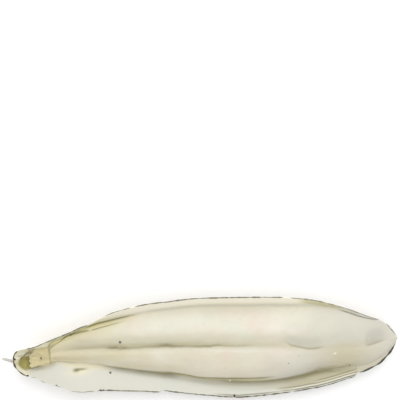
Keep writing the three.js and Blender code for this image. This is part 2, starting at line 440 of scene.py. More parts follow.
    def back_height(self, station: Array, y: Array) -> Array:
        """Give the height of the convex back over the surface that the bone lies on."""
        share = station / self.length
        keel = self.keel_height.at(share, self.crown)
        rim = self.rim_height.at(share, self.crown) - self.rim_wall
        raw = keel + (rim - keel) * self.share_out(station, y) ** self.bowl_power
        return np.maximum(raw - self.rest_depth, 0)

    def bowl_height(self, station: Array, y: Array) -> Array:
        """Give the height of the bowl's inside, before the dome fills it."""
        return self.back_height(station, y) + lerp(self.keel_wall, self.rim_wall, self.share_out(station, y))


@dataclass(frozen=True)
class BellyLines:
    """Lines along the belly side, as (share of the length, share of half the width) pairs, left positive."""

    limb: GrowthCurve = GrowthCurve((
        (0.122, 0.17), (0.15, 0.305), (0.172, 0.41), (0.221, 0.492), (0.24, 0.504), (0.316, 0.6),
    ))
    ledge: GrowthCurve = GrowthCurve((
        (0.36, -0.406), (0.41, -0.457), (0.454, -0.515), (0.505, -0.597), (0.57, -0.622), (0.66, -0.619),
        (0.71, -0.594),
    ))
    scar: GrowthCurve = GrowthCurve((
        (0.7115, 0.132), (0.729, 0.046), (0.7465, 0.007), (0.779, -0.051), (0.8045, -0.041), (0.83, 0.01),
    ))
    front_scar: GrowthCurve = GrowthCurve(((0.91, -0.112), (0.923, -0.1015), (0.955, -0.056), (0.98, -0.01)))
    flake: GrowthCurve = GrowthCurve(((0.85, 0.076), (0.9, 0.071), (0.955, 0.012)))
    pit_lower: GrowthCurve = GrowthCurve(((0.04, -0.11), (0.0495, -0.195), (0.062, -0.24), (0.072, -0.23)))
    pit_upper: GrowthCurve = GrowthCurve(((0.04, -0.066), (0.0505, -0.011), (0.066, 0.011), (0.08, 0.02)))
    far_strip: GrowthCurve = GrowthCurve((
        (0.047, -0.01), (0.0505, 0.004), (0.0655, 0.078), (0.076, 0.128), (0.09, 0.18),
    ))


@dataclass(frozen=True)
class TailMarks:
    """The small features of the tail's pit, the collar, its two limbs and the web beside it."""

    front_waves: Lumps = Lumps(4, EVEN, 3, 0.4)
    rear_waves: Lumps = Lumps(2.3, EVEN, 5, 1.1)
    rear_teeth: Lumps = Lumps(0.7, 0.9, 7, 0.5)
    left_filled: Span = Span(12, 15, 38, 48)
    right_filled: Span = Span(18, 22, 30, 40)
    filled_share: float = 0.75
    web: Span = Span(13, 15.5, 30, 46)
    web_inner: float = 0.8
    web_outer: float = 0.8
    web_narrowest: float = 0.2
    web_share: float = 0.72
    web_drop: float = 0.5
    web_lumps: Lumps = Lumps(3, 1.5, 37, 0.3)
    collar_side: Slope = Slope(1.05, 0.88)
    collar_lumps: Lumps = Lumps(3.1, 2.3, 31, 0.75)
    collar_grit: Lumps = Lumps(1.1, 0.9, 33, 0.25)
    collar_foot: Slope = Slope(0.6, -0.2)
    collar_left: float = 0.8
    collar_line: Band = Band(-0.1, 0.35, strength=0.55)
    collar_line_foot: Slope = Slope(0.7, -0.3)
    shade_patches: Slope = Slope(0.4, 0.75)
    shade_left: Slope = Slope(1.5, 4)
    shade_left_share: float = 0.6
    crumb_reach: Slope = Slope(2.4, 0.2)
    crumb_side: Slope = Slope(1.0, 0.9)
    crumb_rise: float = 0.25
    crumb_lumps: Lumps = Lumps(1.0, 1.1, 36, 0.8)
    crumb_gaps: Slope = Slope(0.35, 0.7)
    pit_lower: Slope = Slope(-0.3, 0.6)
    pit_upper: Slope = Slope(0.3, -0.6)
    pit_start: Slope = Slope(7.6, 9)
    pit_depth: float = 0.75
    pit_lumps: Lumps = Lumps(1.5, 1.5, 34, 0.3)
    pit_mottle: Slope = Slope(0.5, 0.85)
    broken: Lumps = Lumps(1.6, 1.4, 51)
    patchy: Lumps = Lumps(3.5, 3, 53)
    strip_waves: Lumps = Lumps(2.2, EVEN, 55, 0.25)
    far_wall: Band = Band(0, 0.75, Span(8.6, 9.8, 15.6, 17.8))
    far_wall_tip: Band = Band(1.3, 0.3, Span(7.6, 8.4, 9.6, 10.6), 0.75)
    # Painted shadow along the collar's right foot:
    near_wall_shadow: Band = Band(0.15, 0.55, Span(12.8, 14.4, 19, 21.5), 0.7)
    near_shadow: Band = Band(0.3, 0.5, Span(22, 25, 33, 38), 0.3)
    limb: Band = Band(-0.1, 2.0, Span(22, 27, 42, 74))
    limb_line: Span = Span(23.5, 26, 54, 66)
    limb_line_spread: float = 0.24
    limb_line_swell: Band = Band(40, 7, strength=0.3)
    limb_line_gap: Band = Band(45.8, 1.0, strength=0.9)
    limb_line_least: float = 0.7
    foot_line: Band = Band(0.25, 0.42, Span(42, 46, 60, 74))
    scuffs: tuple[Spot, ...] = (Spot(36.4, 1.5, -9.5, 0.85), Spot(39.2, 2.6, -9.3, 0.5, 0.9))
    far_band: Span = Span(5, 7, 26, 40)
    far_band_edge: Slope = Slope(-0.2, 0.5)
    far_band_foot: Slope = Slope(-0.4, 0.4)
    far_band_rear: float = 14
    far_band_right: float = 0.33
    near_ledge: Span = Span(4, 6, 11, 15)
    near_ledge_width: Span = Span(-2.4, -1.3, -0.4, 0.2)
    near_ledge_foot: Slope = Slope(-0.2, 0.6)
    near_ledge_rear: float = 13.5
    near_ledge_room: float = 2


@dataclass(frozen=True)
class DomeMarks:
    """The dome's small features: its lumps, crack, ledge, scars and stains, with painted shade and
    highlights.
    """

    lumps_foot: Slope = Slope(0.2, -1.2)
    lumps_start: Slope = Slope(26, 32)
    lumps: Lumps = Lumps(17, 8, 11, 0.42)
    fine_lumps: Lumps = Lumps(5, 3, 14, 0.16)
    # The crack, cut into the dome, with painted shade in it:
    crack: Span = Span(50, 57, 106, 132)
    crack_waves: Lumps = Lumps(11, EVEN, 21, 0.4)
    crack_jags: Lumps = Lumps(3.2, EVEN, 23, 0.3)
    crack_gaps: Lumps = Lumps(4.5, EVEN, 22)
    crack_spread: float = 0.58
    crack_depth: float = 0.28
    wedge: Band = Band(83, 4.3, strength=0.8)
    wedge_width: Span = Span(-0.1, 0.4, 0.8, 2.5)
    smudge: Spot = Spot(58.5, 4.5, 0.3, 1.3, 0.5)
    smudge_grit: Lumps = Lumps(2.4, 1.6, 29)
    smudge_gaps: Slope = Slope(0.3, 0.7)
    ledge: Span = Span(78, 87, 128, 140)
    ledge_foot: Slope = Slope(0.3, -0.5)
    ledge_waves: Lumps = Lumps(9, EVEN, 24, 0.35)
    ledge_step: Slope = Slope(0.15, -0.35)
    ledge_depth: float = 0.24
    # The painted shade along the ledge's step:
    ledge_line_offset: float = -0.3
    ledge_line_spread: float = 0.85
    ledge_line_waves: Lumps = Lumps(3, EVEN, 67, 0.3)
    ledge_fill: Slope = Slope(0.1, -0.5)
    scar: Span = Span(140, 147, 156, 165)
    scar_width: Span = Span(-0.1, 0.5, 2.5, 7)
    scar_share: float = 0.7
    scar_line: Band = Band(0.1, 0.45, Span(141, 146, 158, 164), 0.7)
    scar_depth: float = 0.26
    front_scar: Span = Span(181.5, 187, 190, 197)
    front_scar_width: Span = Span(-0.3, 0.8, 4, 11)
    front_scar_waves: Lumps = Lumps(3, EVEN, 27, 0.2)
    front_scar_line: Band = Band(0.1, 0.55, Span(182.8, 185.5, 189, 195), 0.6)
    rear_line: Band = Band(184.2, 0.45, strength=0.22)
    rear_line_slant: float = 0.1
    rear_line_width: Span = Span(-3, -1.5, 0, 4)
    foot: Slope = Slope(0.6, -0.4)
    warm: Slope = Slope(98, 30)
    warm_lumps: Lumps = Lumps(14, 6, 61, 26)
    cool: Slope = Slope(122, 176)
    cool_slant: float = 1.1
    cool_lumps: Lumps = Lumps(15, 8, 64, 22)
    tan: Band = Band(173, 14)
    tan_side: Slope = Slope(2.5, -3.5)
    tan_lumps: Lumps = Lumps(5, 4, 73, 1.2)
    # Painted shade along the furrow:
    furrow: Span = Span(26, 42, 140, 172)
    furrow_lumps: Lumps = Lumps(12, 9, 76, 1.7)
    furrow_left: Slope = Slope(9.5, 4)
    furrow_left_spread: float = 9
    furrow_right_spread: float = 1.7
    furrow_foot: Slope = Slope(-0.2, -2.5)
    # Darker painted shade in the furrow's bottom:
    deep: Band = Band(0.8, 1.7, Span(30, 42, 104, 150))
    deep_edge: Slope = Slope(-0.3, 0.2)
    deep_lumps: Lumps = Lumps(7, 3, 72, 0.7)
    deep_pale: Slope = Slope(96, 112)
    deep_pale_share: float = 0.3
    flank: Band = Band(-1, 1.9, Span(64, 92, 110, 165))
    beige: Span = Span(68, 90, 118, 150)
    beige_side: Slope = Slope(-0.5, -3)
    patch: Span = Span(155, 163, 171, 181)
    patch_foot: Slope = Slope(-4.6, -1.6)
    patch_lumps: tuple[Lumps, ...] = (Lumps(5, 4, 66, 1.3), Lumps(1.9, 1.5, 68, 1.17))
    patch_least: float = 0.7
    patch_grit: Lumps = Lumps(2.1, 1.2, 74, 0.3)
    patch_edge: Band = Band(0.8, 0.7, Span(154, 159, 169, 177), 0.65)
    patch_edge_grit: Lumps = Lumps(2.6, 1.3, 75)
    patch_edge_gaps: Slope = Slope(0.2, 0.75)
    # Pale chalk along the right limb's ridge, partly painted highlight:
    bright: tuple[Band, ...] = (Band(1.3, 1.3, Span(26, 31, 47, 58)), Band(0.9, 0.9, Span(17, 20, 26, 30)))
    pale_and_highlight_spot: Spot = Spot(38, 5.5, -10, 1.9)
    striped: Span = Span(26, 34, 188, 196)
    growth_bow: float = 9
    growth_lumps: Lumps = Lumps(9, 5, 71, 0.8)


@dataclass(frozen=True)
class WingMarks:
    """The small features of the wings and of the grooves at the dome's foot, with painted shade and light."""

    flaked: Span = Span(132, 152, 178, 180.5)
    flaked_steps: tuple[Slope, ...] = (Slope(0.95, 1.2), Slope(2.1, 2.35))
    flaked_depth: float = 0.17
    flaked_inset: float = 1.0
    foot: Slope = Slope(-0.3, 0.6)
    start: Slope = Slope(11, 15)
    broken: Lumps = Lumps(8, 3, 81)
    shade: Span = Span(74, 90, 140, 160)
    # Painted light on the left wing's inside:
    far: Span = Span(42, 50, 168, 184)
    far_foot: Slope = Slope(0.2, 1.6)
    front: Span = Span(176, 182, 197, 200)
    olive: Span = Span(149, 156, 169, 176)
    olive_reach: Slope = Slope(3.4, 2.2)
    # Painted shade in the grooves at the dome's feet:
    groove_shade: Span = Span(36, 66, 150, 180)
    groove_offset: float = 0.1
    groove_bend: Band = Band(158, 10, strength=1.1)
    groove_spread: float = 1.15
    groove_swell: Band = Band(86, 26, strength=0.6)
    groove_least: float = 0.65
    groove_gap: Span = Span(84, 91, 106, 116)
    groove_gap_share: float = 0.6
    far_groove_shade: Band = Band(0.3, 0.75, Span(66, 78, 165, 185), 0.24)
    stain: Span = Span(90, 104, 176, 183)
    stain_foot: Slope = Slope(-0.1, 0.5)
    stain_width: float = 1.8
    stain_widenings: tuple[tuple[float, Slope], ...] = ((2.0, Slope(94, 120)), (5.6, Slope(136, 152)))
    stain_outside: float = 0.9
    stain_inside: float = 0.5
    stain_least: float = 0.2
    stain_growth: Slope = Slope(124, 156)
    stain_edge: Slope = Slope(2.0, 2.5)
    stain_room: float = 3
    stain_even: float = 0.75
    waver: Lumps = Lumps(3.5, EVEN, 83, 0.16)
    layers: tuple[Band, ...] = (Band(0.95, 0.27), Band(2.15, 0.3, strength=0.9))
    third_layer: Band = Band(3.3, 0.32, strength=0.7)
    pale_layer: Band = Band(1.55, 0.27)
    second_pale_layer: Band = Band(2.75, 0.28, strength=0.8)
    widest: Slope = Slope(156, 162)
    layers_fade: Slope = Slope(0, 0.4)
    double_line: Band = Band(1.0, 0.32, Span(104, 114, 132, 142), 0.8)
    flake: Band = Band(0, 0.27, Span(170, 174, 188, 191), 0.8)


@dataclass
class BellySurface:
    """The belly side read on a grid of places, with its height and the zones that its colours follow.

    A zone is a strength from 0 to 1 at each place, held under the name that the tints know it by.
    """

    form: BoneForm
    station: Array
    y: Array
    lines: BellyLines = BellyLines()
    tail: TailMarks = TailMarks()
    dome: DomeMarks = DomeMarks()
    wings: WingMarks = WingMarks()
    height: Array = field(init=False)
    zones: dict[str, Array] = field(init=False, default_factory=dict)

    def __post_init__(self) -> None:
        """Work out the shared distances, then the height and the zones."""
        form, share = self.form, self.station / self.form.length
        self.half = form.dome_half_width.at(share, form.half_width)
        self.middle = form.dome_offset.at(share, form.half_width)
        self.from_middle = np.abs(self.y - self.middle) / self.half
        self.reach = np.minimum(self.from_middle, 1)
        self.from_foot = (self.from_middle - 1) * self.half
        self.on_left = self.y > self.middle
        self.on_right = ~self.on_left
        self.from_edge = form.from_edge(self.station, self.y)
        self.from_furrow = self._above(form.furrow_line)
        self.in_collar, self.raised = self._collar()
        self.height = self._height(share)
        zones = self._tail_zones() | self._dome_zones() | self._wing_zones()
        self.zones = {name: np.clip(zone, 0, 1) for name, zone in zones.items()} | self._growth()

    def _above(self, line: GrowthCurve) -> Array:
        """Give how far to the left of a line each place is."""
        return self.y - line.at(self.station / self.form.length, self.form.half_width)

    def _collar(self) -> tuple[Array, Array]:
        """Find where the collar is.

        Returns:
            Its share of each place's surface, and whether that place is raised out of the tail's pit.
        """
        form, marks, s, y = self.form, self.tail, self.station, self.y
        slope = form.collar_edge * (1 + form.collar_edge_gain * self.reach)
        front = form.collar_front + form.collar_horns * self.reach**4 + marks.front_waves.at(y, s)
        in_collar = 1 - smooth(front - slope, front + slope, s)
        ragged = marks.rear_waves.at(y, s) + marks.rear_teeth.at(y, s)
        rear = form.collar_rear + form.collar_rear_bow * self.reach**2 + ragged
        self.from_rear = s - rear
        return in_collar, smooth(rear - form.collar_edge, rear + form.collar_edge, s)

    def _height(self, share: Array) -> Array:
        """Work out the height of the belly side, from the stations as shares of the bone's length."""
        form, s, y = self.form, self.station, self.y
        side_spread = np.where(self.from_furrow > 0, form.furrow_left_spread, form.furrow_right_spread)
        furrow = form.furrow_depth.at(share, form.crown) * hill(self.from_furrow / self.half, side_spread)
        along = np.clip((s - form.collar_rear) / (form.collar_front - form.collar_rear), 0, 1)
        collar_top = lerp(form.collar_rear_height, form.collar_front_height, along)
        top = lerp(form.crown_height.at(share, form.crown), collar_top, self.in_collar)
        power = lerp(form.dome_power, form.collar_power, self.in_collar)
        bulge = np.cos(math.pi / 2 * self.reach**power)
        limb = hill(self.from_middle - form.limb_reach, form.limb_spread)
        limb = form.limb_height.at(share, form.crown) * limb
        rise = np.maximum(top - form.bowl_height(s, self.middle), 0) * bulge * self.raised
        body = form.bowl_height(s, y) + rise + limb - furrow * (1 - self.in_collar) - self._trench(share)
        body = body + self._dome_relief() + self._tail_relief() + self._wing_relief()
        body = np.maximum(body, form.back_height(s, y) + self._least_wall())
        return lerp(body, np.maximum(body, self._web(top)), self.tail.web.at(s) * self.on_left)

    def _trench(self, share: Array) -> Array:
        """Give the depth of the trench at the dome's foot, which the tail's layers partly fill."""
        form, marks, s = self.form, self.tail, self.station
        trench = hill(self.from_foot - form.trench_offset, form.trench_spread)
        trench = form.trench_depth.at(share, form.crown) * trench
        filled = np.where(self.on_left, marks.left_filled.at(s), marks.right_filled.at(s))
        return trench * (1 - marks.filled_share * filled)

    def _web(self, top: Array) -> Array:
        """Give the height of the skin of layers that joins the collar, which top is high, to the left rim."""
        form, marks, s = self.form, self.tail, self.station
        inner = self.middle + marks.web_inner * self.half
        outer = form.edge(s, Side.LEFT) - marks.web_outer
        out = np.clip((self.y - inner) / np.maximum(outer - inner, marks.web_narrowest), 0, 1)
        low = lerp(form.bowl_height(s, self.middle), top, marks.web_share) + marks.web_lumps.at(s, self.y)
        return lerp(low, form.bowl_height(s, outer) - marks.web_drop, out)

    def _rounding(self) -> Array:
        """Give the shape of the rounded edge, from 0 at the edge to 1 where the rounding ends."""
        near = np.clip(self.from_edge / self.form.edge_rounding, 0, 1)
        return np.sqrt(1 - (1 - near) ** 2)

    def _least_wall(self) -> Array:
        """Give the thinnest wall, which tapers to the rounded edge of the wings."""
        return lerp(self.form.edge_wall, self.form.least_wall, self._rounding())

    def _dome_relief(self) -> Array:
        """Work out the dome's low lumps, its cracks, the ledge on its right flank and its two scars."""
        marks, s, y = self.dome, self.station, self.y
        dome = marks.lumps_foot.at(self.from_foot) * marks.lumps_start.at(s)
        lumps = dome * (marks.lumps.at(s, y) + marks.fine_lumps.at(s, y))
        path = self.from_furrow + marks.crack_waves.at(s, y) + marks.crack_jags.at(s, y)
        run = marks.crack.at(s) * (0.5 + 0.5 * marks.crack_gaps.plain(s, y))
        wedge = marks.wedge.at(s) * marks.wedge_width.at(path)
        smudge = marks.smudge.at(s, self.from_furrow) * marks.smudge_gaps.at(marks.smudge_grit.plain(s, y))
        self.crack = np.clip(run * hill(path, marks.crack_spread) + wedge + smudge, 0, 1)
        self.ledge_run = marks.ledge.at(s) * marks.ledge_foot.at(self.from_foot)
        self.ledge_path = self._above(self.lines.ledge) + marks.ledge_waves.at(s, y)
        cut = marks.crack_depth * self.crack + marks.scar_depth * self._scars()
        return lumps - cut - marks.ledge_depth * self.ledge_run * marks.ledge_step.at(self.ledge_path)

    def _scars(self) -> Array:
        """Work out the two shallow scars where the furrow ends and near the front."""
        marks, s = self.dome, self.station
        self.scar_path = self._above(self.lines.scar)
        self.front_path = self._above(self.lines.front_scar) + marks.front_scar_waves.at(s, self.y)
        last = marks.scar.at(s) * marks.scar_width.at(self.scar_path)
        front = marks.front_scar.at(s) * marks.front_scar_width.at(self.front_path)
        self.scars = np.clip(marks.scar_share * last + front, 0, 1)
        return self.scars

    def _tail_relief(self) -> Array:
        """Work out the collar's lumps and crumbled rear edge, and the tail's pit."""
        marks, s, y = self.tail, self.station, self.y
        collar = self.in_collar * self.raised * marks.collar_side.at(self.from_middle)
        lumps = collar * (marks.collar_lumps.at(s, y) + marks.collar_grit.at(s, y))
        self.crumbs = collar * marks.crumb_reach.at(self.from_rear) * marks.crumb_side.at(self.from_middle)
        across = marks.pit_lower.at(self._above(self.lines.pit_lower))
        across = across * marks.pit_upper.at(self._above(self.lines.pit_upper))
        self.in_pit = across * marks.pit_start.at(s) * (1 - self.raised)
        crumbs = self.crumbs * (marks.crumb_rise + marks.crumb_lumps.at(s, y))
        return lumps + crumbs - self.in_pit * (marks.pit_depth - marks.pit_lumps.at(s, y))

    def _wing_relief(self) -> Array:
        """Work out the ledges of the layers along the right wing's edge, and round the edges."""
        form, marks = self.form, self.wings
        self.flaked = marks.flaked.at(self.station) * (self.y < 0)
        gone = len(marks.flaked_steps) - sum(step.at(self.from_edge) for step in marks.flaked_steps)
        inside = smooth(form.edge_rounding, marks.flaked_inset, self.from_edge)
        rounded = (form.edge_wall - form.rim_wall) * (1 - self._rounding())
        return rounded - marks.flaked_depth * self.flaked * gone * inside

    def _tail_zones(self) -> dict[str, Array]:
        """Work out the zones of the pit, the collar and the two limbs that run forward from it."""
        marks, s, y, foot = self.tail, self.station, self.y, self.from_foot
        patchy, broken = marks.patchy.share(s, y), marks.broken.share(s, y)
        collar = self.in_collar * self.raised * marks.collar_foot.at(foot + marks.collar_left * self.on_left)
        shade = marks.shade_patches.at(patchy) + marks.shade_left_share * marks.shade_left.at(y)
        return {
            "limb": self.on_left * marks.limb.at(foot, s),
            "far_band": self._far_band(),
            "near_ledge": self._near_ledge(),
            "collar": collar,
            "collar_shade": collar * np.clip(shade, 0, 1),
            "crumbs": self.crumbs * marks.crumb_gaps.at(broken),
            "pit": self.in_pit,
            "pit_mottle": self.in_pit * marks.pit_mottle.at(broken),
            "pit_edge_and_shadow": self._pit_edge_and_shadow(),
            "limb_line": self._limb_line(patchy),
        }

    def _far_band(self) -> Array:
        """Work out the pale band inside the left rim, beside the pit and the collar."""
        marks, s = self.tail, self.station
        foot = np.where(s > marks.far_band_rear, marks.far_band_foot.at(self.from_foot), 1)
        side = np.where(self.on_left, 1, marks.far_band_right)
        return marks.far_band_edge.at(self._above(self.lines.pit_upper)) * marks.far_band.at(s) * side * foot

    def _near_ledge(self) -> Array:
        """Work out the pale ledge between the pit and the right rim."""
        marks, s = self.tail, self.station
        foot = self.from_foot + marks.near_ledge_room * (s < marks.near_ledge_rear)
        width = marks.near_ledge_width.at(self._above(self.lines.pit_lower))
        return width * marks.near_ledge.at(s) * (self.y < 0) * marks.near_ledge_foot.at(foot)

    def _pit_edge_and_shadow(self) -> Array:
        """Work out the dark line along the pit's left wall, and the painted shadow at the collar's right
        foot.
        """
        marks, s = self.tail, self.station
        strip = self._above(self.lines.far_strip) + marks.strip_waves.at(s, self.y)
        far = marks.far_wall.at(strip, s) + marks.far_wall_tip.at(strip, s)
        return far + self.on_right * marks.near_wall_shadow.at(self.from_foot, s)

    def _limb_line(self, patchy: Array) -> Array:
        """Work out the dark lines along the two limbs and at the collar's front, broken up by patches."""
        form, marks, s = self.form, self.tail, self.station
        spread = marks.limb_line_spread + marks.limb_line_swell.at(s)
        near = hill(self._above(self.lines.limb), spread) * marks.limb_line.at(s)
        near = near * (1 - marks.limb_line_gap.at(s)) * lerp(marks.limb_line_least, 1, patchy)
        far = self.on_left * marks.foot_line.at(self.from_foot, s)
        scuffs = sum(scuff.at(s, self.y) for scuff in marks.scuffs)
        front = marks.collar_line.at(s - form.collar_front) * marks.collar_line_foot.at(self.from_foot)
        # near_shadow is painted shadow beside the dome's right foot, in front of the collar.
        return near + far + scuffs + front + self.on_right * marks.near_shadow.at(self.from_foot, s)

    def _dome_zones(self) -> dict[str, Array]:
        """Work out the zones of the dome of layers."""
        marks, s, y, foot = self.dome, self.station, self.y, self.from_foot
        dome = marks.foot.at(foot)
        ledge_spread = marks.ledge_line_spread + marks.ledge_line_waves.at(s, y)
        # Painted shade along the ledge's step.
        ledge_shade_line = self.ledge_run * hill(self.ledge_path - marks.ledge_line_offset, ledge_spread)
        # Pale chalk along the right limb's ridge, partly painted highlight.
        bright = self.on_right * sum(band.at(foot, s) for band in marks.bright)
        return {
            "warm": marks.warm.at(s + marks.warm_lumps.at(s, y)) * dome,
            "cool": marks.cool.at(s - marks.cool_slant * y + marks.cool_lumps.at(s, y)) * dome,
            "front_tan": marks.tan.at(s) * marks.tan_side.at(y + marks.tan_lumps.at(s, y)) * dome,
            "furrow_painted_shade": self._furrow_painted_shade(),
            "furrow_deep_shade": self._furrow_deep_shade(),
            "flank": self.on_left * marks.flank.at(foot, s),
            "near_beige": self.on_right * dome * marks.beige.at(s) * marks.beige_side.at(self.from_furrow),
            "shelf": self._patch() * dome,
            "scar": self.scars,
            "crease_shade_and_lines": self._crease_shade_and_lines(),
            "ledge_shade_line": ledge_shade_line,
            "ledge_fill": self.on_right * self.ledge_run * marks.ledge_fill.at(self.ledge_path),
            "bright": bright + marks.pale_and_highlight_spot.at(s, y),
            "striped": dome * marks.striped.at(s),
        }

    def _growth(self) -> dict[str, Array]:
        """Work out the place of each layer's end, which the stripes follow."""
        marks, s = self.dome, self.station
        return {"growth": s + marks.growth_bow * self.reach**2 + marks.growth_lumps.at(s, self.y)}

    def _furrow_painted_shade(self) -> Array:
        """Work out the painted shade along the furrow, wide on its left side and narrow on its right one."""
        marks, s = self.dome, self.station
        wavy = self.from_furrow + marks.furrow_lumps.at(s, self.y)
        left = marks.furrow_left.at(wavy) * hill(wavy, marks.furrow_left_spread)
        zone = np.where(self.from_furrow > 0, left, hill(self.from_furrow, marks.furrow_right_spread))
        return zone * marks.furrow.at(s) * marks.furrow_foot.at(self.from_foot)

    def _furrow_deep_shade(self) -> Array:
        """Work out the darker painted shade in the furrow's bottom, which pales in its front half."""
        marks, s = self.dome, self.station
        deep = marks.deep.at(self.from_furrow + marks.deep_lumps.at(s, self.y), s)
        pale = marks.deep_pale_share * marks.deep_pale.at(s)
        return deep * marks.deep_edge.at(self.from_furrow) * (1 - pale)

    def _patch(self) -> Array:
        """Work out the brown patch on the right flank near the front."""
        marks, s, y = self.dome, self.station, self.y
        inward = self.from_foot + sum(lumps.at(s, y) for lumps in marks.patch_lumps)
        patch = self.on_right * marks.patch_foot.at(inward) * marks.patch.at(s)
        return patch * (marks.patch_least + marks.patch_grit.at(s, y))

    def _crease_shade_and_lines(self) -> Array:
        """Work out the thin dark lines: the crack and the scars' edges, as painted shade, and the brown
        patch's edge.
        """
        marks, s, y = self.dome, self.station, self.y
        scars = marks.scar_line.at(self.scar_path, s) + marks.front_scar_line.at(self.front_path, s)
        rear = marks.rear_line.at(s - marks.rear_line_slant * y) * marks.rear_line_width.at(y)
        gaps = marks.patch_edge_gaps.at(marks.patch_edge_grit.plain(s, y))
        return self.crack + scars + rear + self.on_right * marks.patch_edge.at(self.from_foot, s) * gaps

    def _wing_zones(self) -> dict[str, Array]:
        """Work out the zones of the wings and the grooves beside the dome."""
        marks, s = self.wings, self.station
        broken = marks.broken.share(s, self.y)
        wing = marks.foot.at(self.from_foot) * marks.start.at(s)
        left, right = wing * self.on_left, wing * self.on_right
        return {
            "wing": wing,
            "wing_shade": left * marks.shade.at(s),
            # Painted light on the left wing's inside.
            "far_wing_light": left * marks.far.at(s) * marks.far_foot.at(self.from_foot),
            "front_wing": right * marks.front.at(s),
            "far_olive": left * marks.olive.at(s) * marks.olive_reach.at(self.from_edge),
            "groove_shade": self._groove_shade(broken),
            "stain": self._stain(broken),
            "back": np.zeros(s.shape),
        } | self._layers()

    def _groove_shade(self, broken: Array) -> Array:
        """Work out the painted shade in the grooves at the dome's two feet, broken up by patches."""
        marks, s = self.wings, self.station
        outward = marks.groove_offset + marks.groove_bend.at(s)
        spread = marks.groove_spread + marks.groove_swell.at(s)
        near = hill(self.from_foot - outward, spread) * self.on_right * marks.groove_shade.at(s)
        gap = marks.groove_gap_share * marks.groove_gap.at(s)
        near = near * lerp(marks.groove_least, 1, broken) * (1 - gap)
        return near + self.on_left * marks.far_groove_shade.at(self.from_foot, s)

    def _stain(self, broken: Array) -> Array:
        """Work out the right wing's brown stain, which widens to the front, broken up by patches."""
        marks, s, foot = self.wings, self.station, self.from_foot
        limit = marks.stain_width + sum(width * slope.at(s) for width, slope in marks.stain_widenings)
        across = smooth(limit + marks.stain_outside, limit - marks.stain_inside, foot)
        across = across * marks.stain_foot.at(foot)
        inside = marks.stain_edge.at(self.from_edge + marks.stain_room * (1 - self.flaked))
        stain = self.on_right * across * inside * marks.stain.at(s)
        growth = lerp(marks.stain_least, 1, marks.stain_growth.at(s))
        return stain * growth * lerp(marks.stain_even, 1, broken)

    def _layers(self) -> dict[str, Array]:
        """Work out the zones of the peeled layers' ends near the edges: dark lines on their steps, pale ones
        between.
        """
        marks, s = self.wings, self.station
        inward = self.from_edge - marks.waver.at(s, self.y)
        widest = marks.widest.at(s)
        lines = sum(layer.at(inward) for layer in marks.layers) + marks.third_layer.at(inward) * widest
        lines = lines * self.flaked * marks.layers_fade.at(self.flaked)
        pale_layer = marks.pale_layer.at(inward) + marks.second_pale_layer.at(inward) * widest
        flake_line = self.lines.flake.at(s / self.form.length, self.form.half_width)
        flake = self.on_left * marks.flake.at(self.from_edge - flake_line, s)
        double = self.on_right * marks.double_line.at(inward, s)
        return {"strata": lines + flake + double, "pale_layer": pale_layer * self.flaked}


def new_object(
    name: str,
    points: Array,
    edges: list[tuple[int, int]],
    faces: list[tuple[int, ...]],
    values: dict[str, Any],
) -> bpy.types.Object:
    """Make an object at the origin whose points hold named values.

    Args:
        name: The object's and its mesh's name.
        points: Its points, in metres.
        edges: Its loose edges, as pairs of points.
        faces: Its faces, as the numbers of their points.
        values: One value for each point, for each attribute's name.

    Returns:
        The new object, linked to the scene.
    """
    mesh = bpy.data.meshes.new(name)
    mesh.from_pydata(np.asarray(points).tolist(), edges, faces)
    for key, value in values.items():
        attribute = mesh.attributes.new(key, "FLOAT", "POINT")
        attribute.data.foreach_set("value", np.ascontiguousarray(value, dtype=np.float32))
    mesh.update()
    made = bpy.data.objects.new(name, mesh)
    bpy.context.scene.collection.objects.link(made)
    return made


def close_rings(rings: int, count: int) -> list[tuple[int, ...]]:
    """List the faces that join rings of points into a closed skin.

    Args:
        rings: How many rings there are.
        count: How many points each ring has.

    Returns:
        The faces. Two points more, after the rings', are the hubs of the first and the last ring.
    """
    here = np.arange(rings * count).reshape(rings, count)
    ahead = np.roll(here, -1, axis=1)
    quads = np.stack([here[:-1], here[1:], ahead[1:], ahead[:-1]], axis=-1).reshape(-1, 4)
    faces = [tuple(quad) for quad in quads.tolist()]
    first_hub, last_hub = rings * count, rings * count + 1
    faces += [(a, b, first_hub) for a, b in zip(here[0].tolist(), ahead[0].tolist())]
    faces += [(b, a, last_hub) for a, b in zip(here[-1].tolist(), ahead[-1].tolist())]
    return faces


